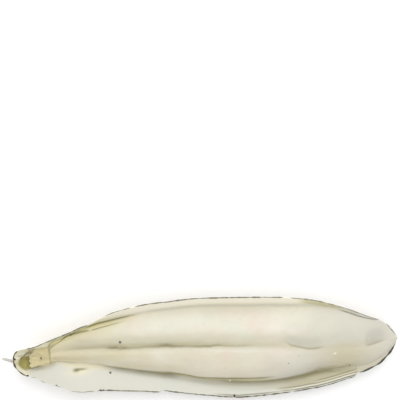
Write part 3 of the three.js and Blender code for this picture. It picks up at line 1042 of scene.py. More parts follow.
@dataclass
class ShellAndDome:
    """The shield, wings, dome and collar as one closed skin."""

    form: BoneForm
    tail_rings: int = 26
    collar_rings: int = 84
    dome_rings: int = 214
    chip_rings: int = 4
    front_rings: int = 40
    wing_columns: int = 28
    slope_columns: int = 58
    back_columns: int = 60
    collar_end: float = 36.0
    edge_room: float = 0.94
    foot_room: float = 0.3
    wing_power: float = 1.5
    ridges: tuple[Band, ...] = (Band(0.3, 0.1, strength=0.2), Band(0.62, 0.08, strength=0.14))
    ridge_start: Slope = Slope(20, 60)
    ridge_reach: Slope = Slope(1, 0.8)
    back_lumps: Lumps = Lumps(6, 6, 81, 0.05)
    clear_of_rest: Slope = Slope(0.0, 0.8)
    back_edge: Slope = Slope(0.0, 1.2)
    back_tail: Slope = Slope(90, 12)
    growth_bow: float = 16

    def stations(self) -> Array:
        """List the stations of the rings, closest together at the tail, the collar and the front."""
        form = self.form
        tail_end = form.tail_station + form.tail_rounding
        chip = form.nicks[0]
        chip_end = chip.station + chip.run
        return np.concatenate([
            self._steps(form.tail_station, tail_end, self.tail_rings, lambda t: 1 - np.cos(math.pi / 2 * t)),
            self._steps(tail_end, self.collar_end, self.collar_rings),
            self._steps(self.collar_end, chip.station, self.dome_rings),
            self._steps(chip.station, chip_end, self.chip_rings),
            self._steps(chip_end, form.length, self.front_rings, lambda t: np.sin(math.pi / 2 * t)),
        ])

    @staticmethod
    def _steps(
        start: float | Array, end: float | Array, count: int, ease: Callable[[Array], Array] | None = None,
    ) -> Array:
        """List the end points of each step along a stretch.

        Args:
            start: Where the stretch starts, or an array of starts.
            end: Where it ends.
            count: How many steps it has.
            ease: How the steps are spread, or None for evenly.

        Returns:
            The end points, with the steps in the last dimension.
        """
        t = np.arange(1, count + 1) / count
        t = ease(t) if ease else t
        return np.asarray(start)[..., None] * (1 - t) + np.asarray(end)[..., None] * t

    def places_across(self, station: Array) -> Array:
        """List the places across the belly side of each ring, from the right edge to the left one.

        Args:
            station: The rings' stations.

        Returns:
            One row of places for each ring, whose columns follow the dome's foot and its furrow.
        """
        form, share = self.form, station / self.form.length
        right, left = -form.edge(station, Side.RIGHT), form.edge(station, Side.LEFT)
        half = form.dome_half_width.at(share, form.half_width)
        middle = form.dome_offset.at(share, form.half_width)
        right_foot = np.maximum(middle - half, right * self.edge_room)
        left_foot = np.minimum(middle + half, left * self.edge_room)
        room = self.foot_room * (left_foot - right_foot)
        line = form.furrow_line.at(share, form.half_width)
        furrow = np.clip(line, right_foot + room, left_foot - room)

        def both(t: Array) -> Array:
            """Spread steps closer together at both ends."""
            return (1 - np.cos(math.pi * t)) / 2

        stretches = [
            right[:, None],
            self._steps(right, right_foot, self.wing_columns, lambda t: t**self.wing_power),
            self._steps(right_foot, furrow, self.slope_columns, both),
            self._steps(furrow, left_foot, self.slope_columns, both),
            self._steps(left_foot, left, self.wing_columns, lambda t: 1 - (1 - t) ** self.wing_power),
        ]
        return np.concatenate(stretches, axis=1)

    def build(self) -> bpy.types.Object:
        """Make the skin's mesh with the zones as attributes.

        Returns:
            The new object.
        """
        form = self.form
        stations = self.stations()
        across = self.places_across(stations)
        grid = np.broadcast_to(stations[:, None], across.shape)
        belly = BellySurface(form, grid, across)
        t = (1 - np.cos(math.pi * np.arange(self.back_columns + 1) / self.back_columns)) / 2
        back_y = lerp(across[:, -1:], across[:, :1], t[None, :])
        back_s = np.broadcast_to(stations[:, None], back_y.shape)
        back_z = form.back_height(back_s, back_y) + self._back_relief(back_s, back_y)
        station = np.concatenate([grid, back_s], axis=1)
        y = np.concatenate([across, back_y], axis=1)
        z = np.concatenate([belly.height, back_z], axis=1)
        values = self._back_zones(belly, back_s, back_y)
        return self._skin(station, y, z, values)

    def _back_relief(self, station: Array, y: Array) -> Array:
        """Work out the back's low middle ridge and its faint growth ledges, which fade out where it rests."""
        out = self.form.share_out(station, y)
        shows = self.ridge_start.at(station) * self.ridge_reach.at(out)
        ridge = sum(ridge.at(out) for ridge in self.ridges) * shows
        away = self.clear_of_rest.at(self.form.back_height(station, y))
        return away * (ridge + self.back_lumps.at(station, y))

    def _back_zones(self, belly: BellySurface, back_s: Array, back_y: Array) -> dict[str, Array]:
        """Join the belly's zones and the back's into one array for each name.

        Args:
            belly: The belly side.
            back_s: The stations of the back's points.
            back_y: Their places across.

        Returns:
            The values at each point of the skin, ring by ring.
        """
        plain = {key: np.zeros(back_s.shape) for key in belly.zones}
        plain["back"] = self.back_edge.at(self.form.from_edge(back_s, back_y))
        plain["back_tail"] = self.back_tail.at(back_s) * plain["back"]
        plain["growth"] = back_s - self.growth_bow * self.form.share_out(back_s, back_y) ** 2
        plain["wing"] = 1 - plain["back"]
        front = belly.zones | {"back_tail": np.zeros(belly.y.shape)}
        return {key: np.concatenate([front[key], plain[key]], axis=1).ravel() for key in plain}

    def _skin(self, station: Array, y: Array, z: Array, values: dict[str, Array]) -> bpy.types.Object:
        """Close the rings into one skin with a fan at each end.

        Args:
            station: Each ring's points' stations.
            y: Their places across.
            z: Their heights.
            values: The zones' values at the points.

        Returns:
            The new object.
        """
        rings = np.stack([station - self.form.length / 2, y + self.form.lean, z], axis=-1)
        points = np.vstack([rings.reshape(-1, 3), rings[0].mean(axis=0), rings[-1].mean(axis=0)])
        faces = close_rings(*station.shape)
        ends = {key: np.append(value, [value[0], value[-1]]) for key, value in values.items()}
        skin = new_object("shell_and_dome", points * MM, [], faces, ends)
        skin.data.shade_smooth()
        return skin


@dataclass
class TailSpine:
    """The short blunt spine behind the tail."""

    form: BoneForm
    root: Vector = field(default_factory=lambda: Vector((8.4, -2.7, 9.5)))
    tip: Vector = field(default_factory=lambda: Vector((0.15, 0.3, 9.9)))
    root_radius: float = 0.95
    tip_radius: float = 0.62
    rings: int = 40
    sides: int = 28
    rounding: float = 0.07
    least_end: float = 0.02
    ridges: int = 7
    ridge_share: float = 0.05
    lumps: Lumps = Lumps(1 / 6, 0.5, 91, 0.05)
    root_tone: float = 0.55

    def build(self) -> bpy.types.Object:
        """Make the spine as a closed, slightly ridged needle.

        Returns:
            The new object.
        """
        axis = self.tip - self.root
        turn = axis.to_track_quat("Z", "Y").to_matrix()
        t = np.linspace(0, 1, self.rings)
        past = ((t - (1 - self.rounding)) / self.rounding).clip(0, 1)
        end = np.sqrt(np.clip(1 - past**2, self.least_end, 1))
        radius = lerp(self.root_radius, self.tip_radius, t) * end
        angle = np.linspace(0, 2 * math.pi, self.sides, endpoint=False)
        ridges = self.ridge_share * np.sin(angle * self.ridges)
        ridged = 1 + ridges + self.lumps.at(t[:, None], angle[None, :])
        wide = radius[:, None] * ridged
        along = np.broadcast_to((t * axis.length)[:, None], wide.shape)
        local = np.stack([wide * np.cos(angle), wide * np.sin(angle), along], axis=-1).reshape(-1, 3)
        points = local @ np.array(turn).T + np.array(self.root)
        shift = np.array((-self.form.length / 2, self.form.lean, 0))
        points = np.vstack([points, np.array(self.root), np.array(self.tip)]) + shift
        faces = [face[::-1] for face in close_rings(self.rings, self.sides)]
        tone = self.root_tone * (1 - np.append(np.repeat(t, self.sides), [0, 1]))
        spine = new_object("tail_spine", points * MM, [], faces, {"tone": tone})
        spine.data.shade_smooth()
        return spine


def linear(colour: str) -> tuple[float, float, float, float]:
    """Turn an sRGB hex colour into the linear colour that the sockets take.

    Args:
        colour: Six hex digits after a #.

    Returns:
        Red, green, blue and 1.
    """
    parts = [int(colour[i:i + 2], 16) / 255 for i in (1, 3, 5)]
    red, green, blue = (p / 12.92 if p <= 0.04045 else ((p + 0.055) / 1.055) ** 2.4 for p in parts)
    return red, green, blue, 1.0


class Nodes:
    """A node tree to add to. Inputs are values or the output sockets that feed them, by name or number."""

    def __init__(self, tree: bpy.types.NodeTree) -> None:
        """Hold the tree."""
        self.tree = tree

    def add(self, kind: str, settings: Inputs | None = None, inputs: Inputs | None = None) -> bpy.types.Node:
        """Add one node.

        Args:
            kind: The node's type name.
            settings: The node's own options.
            inputs: What goes into its input sockets.

        Returns:
            The new node.
        """
        node = self.tree.nodes.new(kind)
        for name, value in (settings or {}).items():
            setattr(node, name, value)
        for name, value in (inputs or {}).items():
            if isinstance(value, Socket):
                self.tree.links.new(value, node.inputs[name])
            else:
                node.inputs[name].default_value = value
        return node

    def maths(self, operation: str, first: Term, second: Term = 0.0, clamp: bool = False) -> Socket:
        """Add one step of arithmetic, which may keep its result between 0 and 1."""
        settings = {"operation": operation, "use_clamp": clamp}
        return self.add("ShaderNodeMath", settings, {0: first, 1: second}).outputs[0]

    def stretch(self, source: Socket, values: Terms, results: Terms) -> Socket:
        """Stretch one range of values over another.

        Args:
            source: The value.
            values: The values that give the first and the second result.
            results: Those two results.

        Returns:
            The result.
        """
        limits = dict(zip(("From Min", "From Max", "To Min", "To Max"), (*values, *results)))
        return self.add("ShaderNodeMapRange", None, limits | {"Value": source}).outputs["Result"]


class FinishTree(Nodes):
    """A material's node tree round its one shader."""

    def __init__(self, name: str, inputs: Inputs) -> None:
        """Start the material.

        Args:
            name: Its name.
            inputs: The shader's plain values.
        """
        self.material = bpy.data.materials.new(name)
        self.material.use_nodes = True
        super().__init__(self.material.node_tree)
        self.shader = self.tree.nodes["Principled BSDF"]
        for key, value in inputs.items():
            self.shader.inputs[key].default_value = value

    def join(self, source: Socket, name: str) -> None:
        """Feed one of the shader's inputs."""
        self.tree.links.new(source, self.shader.inputs[name])

    def zone(self, name: str) -> Socket:
        """Give the value of an attribute."""
        return self.add("ShaderNodeAttribute", {"attribute_name": name}).outputs["Fac"]

    def spread(self, size_mm: float) -> Inputs:
        """Give the inputs that place a texture on the object, with its parts some millimetres apart."""
        place = self.add("ShaderNodeTexCoord").outputs["Object"]
        return {"Vector": place, "Scale": 1 / (size_mm * MM)}

    def noise(self, size_mm: float, inputs: Inputs) -> Socket:
        """Add random bumps, from 0 to 1. With a seed, W, among the inputs, they have a fourth dimension."""
        settings = {"noise_dimensions": "4D"} if "W" in inputs else None
        return self.add("ShaderNodeTexNoise", settings, self.spread(size_mm) | inputs).outputs["Fac"]

    def lay_over(self, share: Socket, under: Socket | tuple[float, ...], over: str) -> Socket:
        """Lay a colour over another.

        Args:
            share: How much of the upper colour shows.
            under: The lower colour, or the socket that gives it.
            over: The upper colour, as sRGB hex.

        Returns:
            The mixed colour.
        """
        factor, lower, upper, mixed = 0, 6, 7, 2
        inputs = {factor: share, lower: under, upper: linear(over)}
        return self.add("ShaderNodeMix", {"data_type": "RGBA"}, inputs).outputs[mixed]

    def bump(self, height: Socket, relief: Ends, under: Socket | None = None) -> Socket:
        """Bend the normal as a height does.

        Args:
            height: The height.
            relief: How strongly it shows, and how high the height of 1 is, in millimetres.
            under: The normal to bend, or None for the surface's own.

        Returns:
            The bent normal.
        """
        strength, high = relief
        inputs = {"Strength": strength, "Distance": high * MM, "Height": height}
        inputs |= {"Normal": under} if under else {}
        return self.add("ShaderNodeBump", None, inputs).outputs[0]


class GrowTree(Nodes):
    """A geometry node tree with named inputs, which ends in realized instances and a finish."""

    def __init__(self, name: str, sizes: dict[str, float | int]) -> None:
        """Start the tree.

        Args:
            name: The tree's name.
            sizes: The named inputs and their values. Whole numbers become whole-number inputs.
        """
        super().__init__(bpy.data.node_groups.new(name, "GeometryNodeTree"))
        self.sizes = sizes
        face = self.tree.interface
        face.new_socket("Geometry", in_out="INPUT", socket_type="NodeSocketGeometry")
        for key, value in sizes.items():
            kind = "NodeSocketInt" if isinstance(value, int) else "NodeSocketFloat"
            face.new_socket(key, in_out="INPUT", socket_type=kind)
        face.new_socket("Finish", in_out="INPUT", socket_type="NodeSocketMaterial")
        face.new_socket("Geometry", in_out="OUTPUT", socket_type="NodeSocketGeometry")
        self.start = self.add("NodeGroupInput")

    def size(self, name: str) -> Socket:
        """Give the socket of one of the tree's inputs."""
        return self.start.outputs[name]

    def held(self, name: str) -> Socket:
        """Give the value that the points hold under a name."""
        node = self.add("GeometryNodeInputNamedAttribute", {"data_type": "FLOAT"}, {"Name": name})
        return node.outputs["Attribute"]

    def draw(self, kind: str, inputs: Inputs) -> Socket:
        """Draw a random value for each point, by the tree's seed.

        Args:
            kind: What to draw, FLOAT or FLOAT_VECTOR.
            inputs: The least and the most, by the sockets' numbers.

        Returns:
            The drawn values.
        """
        drawn = {"FLOAT_VECTOR": 0, "FLOAT": 1}[kind]
        seeded = inputs | {"Seed": self.size("Seed")}
        return self.add("FunctionNodeRandomValue", {"data_type": kind}, seeded).outputs[drawn]

    def put_grains(self, points: Inputs, rings: int, shape: Inputs, size: Socket) -> None:
        """End the tree with a small ball at each point.

        Args:
            points: The points, and their rotation.
            rings: How finely a ball is divided.
            shape: A ball's proportions in X, Y and Z.
            size: Its radius.
        """
        ball = self.add("GeometryNodeMeshIcoSphere", None, {"Radius": 1.0, "Subdivisions": rings})
        proportions = self.add("ShaderNodeCombineXYZ", None, shape).outputs[0]
        scale = self.add("ShaderNodeVectorMath", {"operation": "SCALE"}, {0: proportions, "Scale": size})
        inputs = {"Instance": ball.outputs["Mesh"], "Scale": scale.outputs[0]} | points
        self.finish(self.add("GeometryNodeInstanceOnPoints", None, inputs).outputs[0])

    def finish(self, geometry: Socket) -> None:
        """End the tree: realize the instances, shade them smooth and give them the finish."""
        whole = self.add("GeometryNodeRealizeInstances", None, {"Geometry": geometry}).outputs[0]
        shaded = self.add("GeometryNodeSetShadeSmooth", None, {"Geometry": whole}).outputs[0]
        inputs = {"Geometry": shaded, "Material": self.size("Finish")}
        self.add("NodeGroupOutput", None, {0: self.add("GeometryNodeSetMaterial", None, inputs).outputs[0]})

    def grow(self, host: bpy.types.Object, finish: bpy.types.Material) -> bpy.types.Object:
        """Run the tree on an object and keep the result as its plain mesh.

        Args:
            host: The object whose mesh the tree starts from.
            finish: The finish of what it makes.

        Returns:
            The same object, with its new mesh and no modifier.
        """
        modifier = host.modifiers.new("grow", "NODES")
        modifier.node_group = self.tree
        wanted = self.sizes | {"Finish": finish}
        for socket in self.tree.interface.items_tree:
            if socket.in_out == "INPUT" and socket.name in wanted:
                modifier[socket.identifier] = wanted[socket.name]
        graph = bpy.context.evaluated_depsgraph_get()
        grown = bpy.data.meshes.new_from_object(
            host.evaluated_get(graph), preserve_all_data_layers=True, depsgraph=graph,
        )
        host.modifiers.remove(modifier)
        grown.materials.clear()
        grown.materials.append(finish)
        before = host.data
        host.data = grown
        bpy.data.meshes.remove(before)
        grown.name = host.name
        return host


@dataclass(frozen=True)
class Tint:
    """A colour laid over the others where a zone shows.

    Attributes:
        zone: The attribute that holds the zone's strength.
        colour: The colour, as sRGB hex.
        strength: How much of the colour shows where the zone is full.
    """

    zone: str
    colour: str
    strength: float = 1.0


@dataclass(frozen=True)
class Patches:
    """Broad, soft-edged patches of a slightly different colour.

    Attributes:
        colour: The patches' colour, as sRGB hex.
        size_mm: How far apart they are.
        seed: Which patches to show.
        strength: How much of the colour shows in the middle of a patch.
    """

    colour: str
    size_mm: float
    seed: float
    strength: float


BELLY_TINTS = (
    Tint("back", "#d3cec1"),
    Tint("back_tail", "#c8bfa2", 0.8),
    Tint("wing", "#d2d2c8", 0.95),
    Tint("wing_shade", "#beb8a0", 0.1),
    # Painted light: lifts the left wing's inside paler.
    Tint("far_wing_light", "#eee9d8", 0.85),
    Tint("front_wing", "#b8b196", 0.7),
    Tint("far_olive", "#c6c19c", 0.85),
    Tint("warm", "#cec4a2", 0.9),
    Tint("cool", "#c9c5b8", 0.85),
    Tint("flank", "#bdb8a0", 0.4),
    Tint("near_beige", "#cfc3a6", 0.36),
    # Painted shade along the furrow.
    Tint("furrow_painted_shade", "#c4bfa8", 0.8),
    # Darker painted shade in the furrow's bottom.
    Tint("furrow_deep_shade", "#a8a07e", 0.6),
    Tint("front_tan", "#bdb490", 0.6),
    Tint("shelf", "#a0956f", 0.68),
    Tint("ledge_fill", "#c0ba96", 0.8),
    Tint("stain", "#b0a986", 0.85),
    Tint("limb", "#c8c190", 0.8),
    Tint("far_band", "#e6e4cc", 0.95),
    Tint("near_ledge", "#e0dac0", 0.8),
    Tint("collar", "#c9bf95", 0.95),
    Tint("collar_shade", "#b3a880", 0.55),
    Tint("scar", "#b5b3a6", 0.65),
    # Painted shade along the step of the right flank's ledge.
    Tint("ledge_shade_line", "#7f7750", 0.88),
    # Painted shade in the grooves at the dome's feet.
    Tint("groove_shade", "#807850", 0.9),
    Tint("pit", "#958d50", 0.95),
    Tint("pit_mottle", "#b8b072", 0.8),
    # The pit's dark left wall, and painted shadow at the collar's right foot.
    Tint("pit_edge_and_shadow", "#786d49", 0.9),
    # Pale chalk along the right limb's ridge, partly painted highlight.
    Tint("bright", "#e6dfc4", 0.85),
    Tint("crumbs", "#ded7b4", 0.85),
    Tint("strata", "#544d33", 0.85),
    Tint("pale_layer", "#e2dbc0", 0.75),
    # Painted shade in the crack and at the scars' edges, with the brown patch's edge.
    Tint("crease_shade_and_lines", "#857f5c", 0.8),
    # Also holds painted shadow beside the dome's right foot, in front of the collar.
    Tint("limb_line", "#6f6a42", 0.9),
)


@dataclass(frozen=True)
class ChalkFinish:
    """Biogenic aragonite, grown in thin chambered layers and dried.

    It is matt and chalky on the dome, with faint lines where each layer ends, and closer and slightly waxy on
    the wings and the collar, where the layers lie flat. Dried skin keeps the collar and the pit olive, and
    painted olive shade darkens the trenches. The chalk's own grain is a few hundredths of a millimetre, so it
    is drawn coarser, as small lumps.
    """

    name: str
    ground: str
    patches: tuple[Patches, ...] = ()
    tints: tuple[Tint, ...] = ()
    fleck_colour: str = "#c6c1ad"
    fleck_mm: float = 2.4
    flecks_show: Ends = (0.52, 0.75)
    fleck_share: float = 0.28
    patches_show: Ends = (0.48, 0.66)
    stria_mm: float = 1.25
    stria_relief: Ends = (0.2, 0.06)
    grain_mm: float = 0.9
    grain_relief: Ends = (0.35, 0.14)
    pore_mm: float = 1.6
    pore_relief: Ends = (0.15, 0.1)
    roughness: float = 0.84
    wing_roughness: float = 0.62

    def build(self) -> bpy.types.Material:
        """Make the material.

        Returns:
            The new material.
        """
        tree = FinishTree(self.name, {
            "IOR": 1.5, "Specular IOR Level": 0.3,
            "Subsurface Weight": 0.1, "Subsurface Radius": (1.0, 0.8, 0.55), "Subsurface Scale": MM,
        })
        waxy = tree.stretch(tree.zone("wing"), (0.0, 1.0), (self.roughness, self.wing_roughness))
        tree.join(self._colour(tree), "Base Color")
        tree.join(waxy, "Roughness")
        tree.join(self._bumps(tree), "Normal")
        return tree.material

    def _colour(self, tree: FinishTree) -> Socket:
        """Lay the flecks, the patches and each zone's colour over the ground, in order."""
        fine = tree.noise(self.fleck_mm, {"Detail": 3.0})
        flecks = tree.stretch(fine, self.flecks_show, (0.0, self.fleck_share))
        colour = tree.lay_over(flecks, linear(self.ground), self.fleck_colour)
        for patch in self.patches:
            broad = tree.noise(patch.size_mm, {"W": patch.seed, "Detail": 2.5, "Roughness": 0.5})
            shows = tree.stretch(broad, self.patches_show, (0.0, patch.strength))
            colour = tree.lay_over(shows, colour, patch.colour)
        for tint in self.tints:
            shows = tree.stretch(tree.zone(tint.zone), (0.0, 1.0), (0.0, tint.strength))
            colour = tree.lay_over(shows, colour, tint.colour)
        return colour

    def _bumps(self, tree: FinishTree) -> Socket:
        """Raise the layers' ends, the chalky grain and the pores, and give the bent normal."""
        turns = tree.maths("MULTIPLY", tree.zone("growth"), 2 * math.pi / self.stria_mm)
        ledges = tree.maths("MULTIPLY", tree.maths("SINE", turns), tree.zone("striped"))
        layered = tree.bump(ledges, self.stria_relief)
        chalk = tree.noise(self.grain_mm, {"Detail": 4.0, "Roughness": 0.65})
        grainy = tree.bump(chalk, self.grain_relief, layered)
        pores = tree.add("ShaderNodeTexVoronoi", {"feature": "SMOOTH_F1"}, tree.spread(self.pore_mm))
        return tree.bump(pores.outputs["Distance"], self.pore_relief, grainy)


@dataclass(frozen=True)
class HornFinish:
    """Dried chitin, the horn-like skin that binds the shield's edge and the spine.

    It is smooth, dull and see-through where it is thin, so it goes from pale straw over the chalk to a dark
    olive brown where it is thick or dirty.
    """

    name: str
    thin: str
    thick: str
    grain_mm: float = 2.2
    roughness: float = 0.5
    uneven: float = 0.25
    relief: Ends = (0.25, 0.1)

    def build(self) -> bpy.types.Material:
        """Make the material.

        Returns:
            The new material.
        """
        tree = FinishTree(self.name, {"Roughness": self.roughness, "IOR": 1.54})
        patches = tree.noise(self.grain_mm, {"Detail": 3.0, "Roughness": 0.6})
        uneven = tree.stretch(patches, (0.3, 0.7), (-self.uneven, self.uneven))
        both = tree.maths("ADD", tree.zone("tone"), uneven, clamp=True)
        tree.join(tree.lay_over(both, linear(self.thin), self.thick), "Base Color")
        tree.join(tree.bump(patches, self.relief), "Normal")
        return tree.material


@dataclass(frozen=True)
class RimRun:
    """One unbroken run of horn along the shield's edge.

    Attributes:
        start: Where it starts, as a station that is negative on the right side and positive on the left.
        end: Where it ends. A run from a negative station to a positive one goes round the tail.
        girth: Half its thickness.
        tone: Its colour, from 0 for thin and pale to 1 for thick and dark, which is partly painted shadow.
    """

    start: float
    end: float
    girth: float
    tone: float


@dataclass
class MarginCuticleAndShadowLine:
    """The thin line of dried horn that still binds the shield's edge, with the gaps where it has come off.

    Its dark runs are partly painted shadow along the outline.
    """

    form: BoneForm
    step: float = 0.6
    inset: float = 0.1
    height: float = 0.56
    taper: float = 1.6
    least_end: float = 0.08
    tail_reach: float = 4.6
    tail_turn: float = 1.1
    tail_points: int = 45
    pointed: float = 1.5
    runs: tuple[RimRun, ...] = (
        RimRun(-12.9, -7.4, 0.3, 0.85),
        RimRun(-7.9, 9.4, 0.38, 1.0),
        RimRun(-17.2, -14.2, 0.16, 0.3),
        RimRun(-22.0, -18.4, 0.2, 0.35),
        RimRun(-29.5, -25.6, 0.2, 0.55),
        RimRun(-46.4, -33.5, 0.19, 0.42),
        RimRun(-51.5, -46.8, 0.34, 0.95),
        RimRun(-79.0, -50.6, 0.27, 0.65),
        RimRun(-99.0, -79.8, 0.27, 0.65),
        RimRun(-117.0, -97.0, 0.29, 0.8),
        RimRun(-146.0, -116.0, 0.37, 0.8),
        RimRun(-178.7, -146.6, 0.3, 0.85),
        RimRun(-200.0, -180.4, 0.46, 1.0),
        RimRun(13.2, 45.0, 0.24, 0.8),
        RimRun(53.5, 66.4, 0.17, 0.45),
        RimRun(68.2, 143.2, 0.3, 0.66),
        RimRun(146.4, 169.5, 0.27, 0.4),
        RimRun(169.0, 191.6, 0.18, 0.5),
        RimRun(194.2, 200.0, 0.28, 0.85),
    )

    def build(self) -> bpy.types.Object:
        """Make the runs as uneven tubes.

        Returns:
            The new object.
        """
        host = self._host()
        tree = GrowTree("rim_horn_and_shadow_line", {"Unevenness": 0.55, "Lump length": 2.4 * MM, "Seed": 5, "Sides": 8})
        place = tree.add("GeometryNodeInputPosition").outputs[0]
        finer = tree.maths("DIVIDE", 1.0, tree.size("Lump length"))
        inputs = {"Detail": 2.0, "Vector": place, "Scale": finer, "W": tree.size("Seed")}
        lumps = tree.add("ShaderNodeTexNoise", {"noise_dimensions": "4D"}, inputs).outputs["Fac"]
        least = tree.maths("SUBTRACT", 1.0, tree.size("Unevenness"))
        most = tree.maths("ADD", 1.0, tree.size("Unevenness"))
        girth = tree.maths("MULTIPLY", tree.held("girth"), tree.stretch(lumps, (0.3, 0.7), (least, most)))
        path = tree.add("GeometryNodeMeshToCurve", None, {"Mesh": tree.start.outputs["Geometry"]}).outputs[0]
        inputs = {"Radius": 1.0, "Resolution": tree.size("Sides")}
        section = tree.add("GeometryNodeCurvePrimitiveCircle", None, inputs).outputs[0]
        inputs = {"Fill Caps": True, "Curve": path, "Profile Curve": section, "Scale": girth}
        tree.finish(tree.add("GeometryNodeCurveToMesh", None, inputs).outputs[0])
        # The dark horn along the edge is partly painted shadow on the outline.
        return tree.grow(host, HornFinish("dried_horn_rim_and_shadow_line", "#aaa587", "#3f3c2e").build())

    def _host(self) -> bpy.types.Object:
        """Lay a line of points along each run.

        Returns:
            An object whose edges are the runs, with each point's girth in metres and its tone.
        """
        points, girths, tones, edges = [], [], [], []
        tail = self.form.tail_station
        for run in self.runs:
            signed = self._places(run, tail)
            first = len(points)
            walked = np.arange(len(signed)) * self.step
            ends = np.minimum(walked, walked[-1] - walked) / self.taper
            for place, end in zip(signed.tolist(), ends.tolist()):
                points.append(self._edge_point(place))
                girths.append(run.girth * MM * math.sqrt(max(min(end, 1.0), self.least_end)))
                tones.append(run.tone)
            edges.extend((i, i + 1) for i in range(first, len(points) - 1))
        return new_object("margin_cuticle_and_shadow_line", points, edges, [], {"girth": girths, "tone": tones})

    def _places(self, run: RimRun, tail: float) -> Array:
        """List a run's signed stations a step apart, closer together where it goes round the tail.

        Args:
            run: The run.
            tail: The station of the shield's rear end.

        Returns:
            The signed stations.
        """
        turn = np.linspace(-self.tail_turn, self.tail_turn, self.tail_points)
        close = np.tan(turn) / math.tan(self.tail_turn) * self.tail_reach
        round_tail = np.sign(close) * (tail + np.abs(close) ** 1.5 / self.tail_reach**0.5)
        side = np.arange(tail + self.tail_reach + self.step / 2, self.form.length, self.step)
        whole = np.concatenate([[-self.form.length], -side[::-1], round_tail, side, [self.form.length]])
        return whole[(whole >= run.start) & (whole <= run.end)]

    def _edge_point(self, signed: float) -> tuple[float, float, float]:
        """Find a place on the shield's edge, in metres."""
        side = Side.LEFT if signed > 0 else Side.RIGHT
        nearest, furthest = self.form.tail_station + MM, self.form.length - MM
        station = np.array(min(max(abs(signed), nearest), furthest))
        reach = float(self.form.edge(station, side))
        y = side.value * max(reach - self.inset, 0.0)
        z = float(self.form.back_height(station, np.array(y))) + self.height
        inward = self.inset if reach < self.pointed else 0.0
        along = float(station) + (inward if station < self.form.length / 2 else -inward)
        x = along - self.form.length / 2
        return x * MM, (y + self.form.lean) * MM, z * MM


@dataclass(frozen=True)
class Speck:
    """A grain that is stuck to the bone.

    Attributes:
        station: Where it is along the bone.
        y: Where it is across.
        size: Half its width.
        tone: Its colour, from 0 for pale chalk to 1 for dark dirt.
    """

    station: float
    y: float
    size: float
    tone: float


@dataclass
class DirtSpecks:
    """The dark grains of dirt and the pale crumbs of chalk on the belly side and the edge."""

    form: BoneForm
    inset: float = 0.35
    lift: float = 0.05
    specks: tuple[Speck, ...] = (
        Speck(6.8, 0.1, 0.6, 1.0),
        Speck(12.9, -8.6, 0.55, 1.0),
        Speck(20.2, 0.15, 0.46, 0.85),
        Speck(27.0, -14.3, 0.4, 0.9),
        Speck(36.0, 11.3, 0.42, 0.95),
        Speck(48.7, -18.7, 0.5, 0.9),
        Speck(50.3, -18.6, 0.34, 0.8),
        Speck(53.6, -12.0, 0.66, 0.95),
        Speck(54.9, 4.4, 0.42, 0.6),
        Speck(53.8, 4.6, 0.3, 0.55),
        Speck(60.2, 6.3, 0.72, 0.85),
        Speck(60.4, 3.9, 0.3, 0.55),
        Speck(116.4, -27.2, 0.55, 1.0),
        Speck(143.8, -7.7, 0.42, 0.4),
        Speck(149.0, -4.2, 0.34, 0.4),
        Speck(175.6, -13.6, 0.5, 0.8),
        Speck(174.2, -13.2, 0.3, 0.7),
        Speck(114.5, -19.2, 0.62, 0.0),
        Speck(167.8, -4.9, 0.66, 0.0),
        Speck(166.9, -5.1, 0.4, 0.0),
    )

    def build(self) -> bpy.types.Object:
        """Make the grains, each one turned and squashed differently.

        Returns:
            The new object.
        """
        host = self._host()
        sizes = {"Flatness": 0.45, "Least stretch": 0.75, "Most stretch": 1.35, "Seed": 8}
        tree = GrowTree("stuck_grains", sizes)
        stretched = tree.draw("FLOAT", {2: tree.size("Least stretch"), 3: tree.size("Most stretch")})
        turn = tree.draw("FLOAT_VECTOR", {0: (-0.2, -0.2, 0.0), 1: (0.2, 0.2, 3.1)})
        points = {"Points": tree.start.outputs["Geometry"], "Rotation": turn}
        shape = {"X": stretched, "Y": 1.0, "Z": tree.size("Flatness")}
        tree.put_grains(points, 2, shape, tree.held("girth"))
        return tree.grow(host, HornFinish("stuck_dirt", "#e3dfcf", "#35322a", 0.6, 0.9).build())

    def _host(self) -> bpy.types.Object:
        """Set a point on the belly side for each grain.

        Returns:
            An object of loose points, with each one's size in metres and its tone.
        """
        station = np.array([speck.station for speck in self.specks])
        y = np.array([speck.y for speck in self.specks])
        y = np.maximum(y, -self.form.edge(station, Side.RIGHT) + self.inset)
        height = BellySurface(self.form, station, y).height
        x = station - self.form.length / 2
        points = np.stack([x, y + self.form.lean, height + self.lift], axis=-1) * MM
        girths = [speck.size * MM for speck in self.specks]
        tones = [speck.tone for speck in self.specks]
        return new_object("stuck_specks", points, [], [], {"girth": girths, "tone": tones})


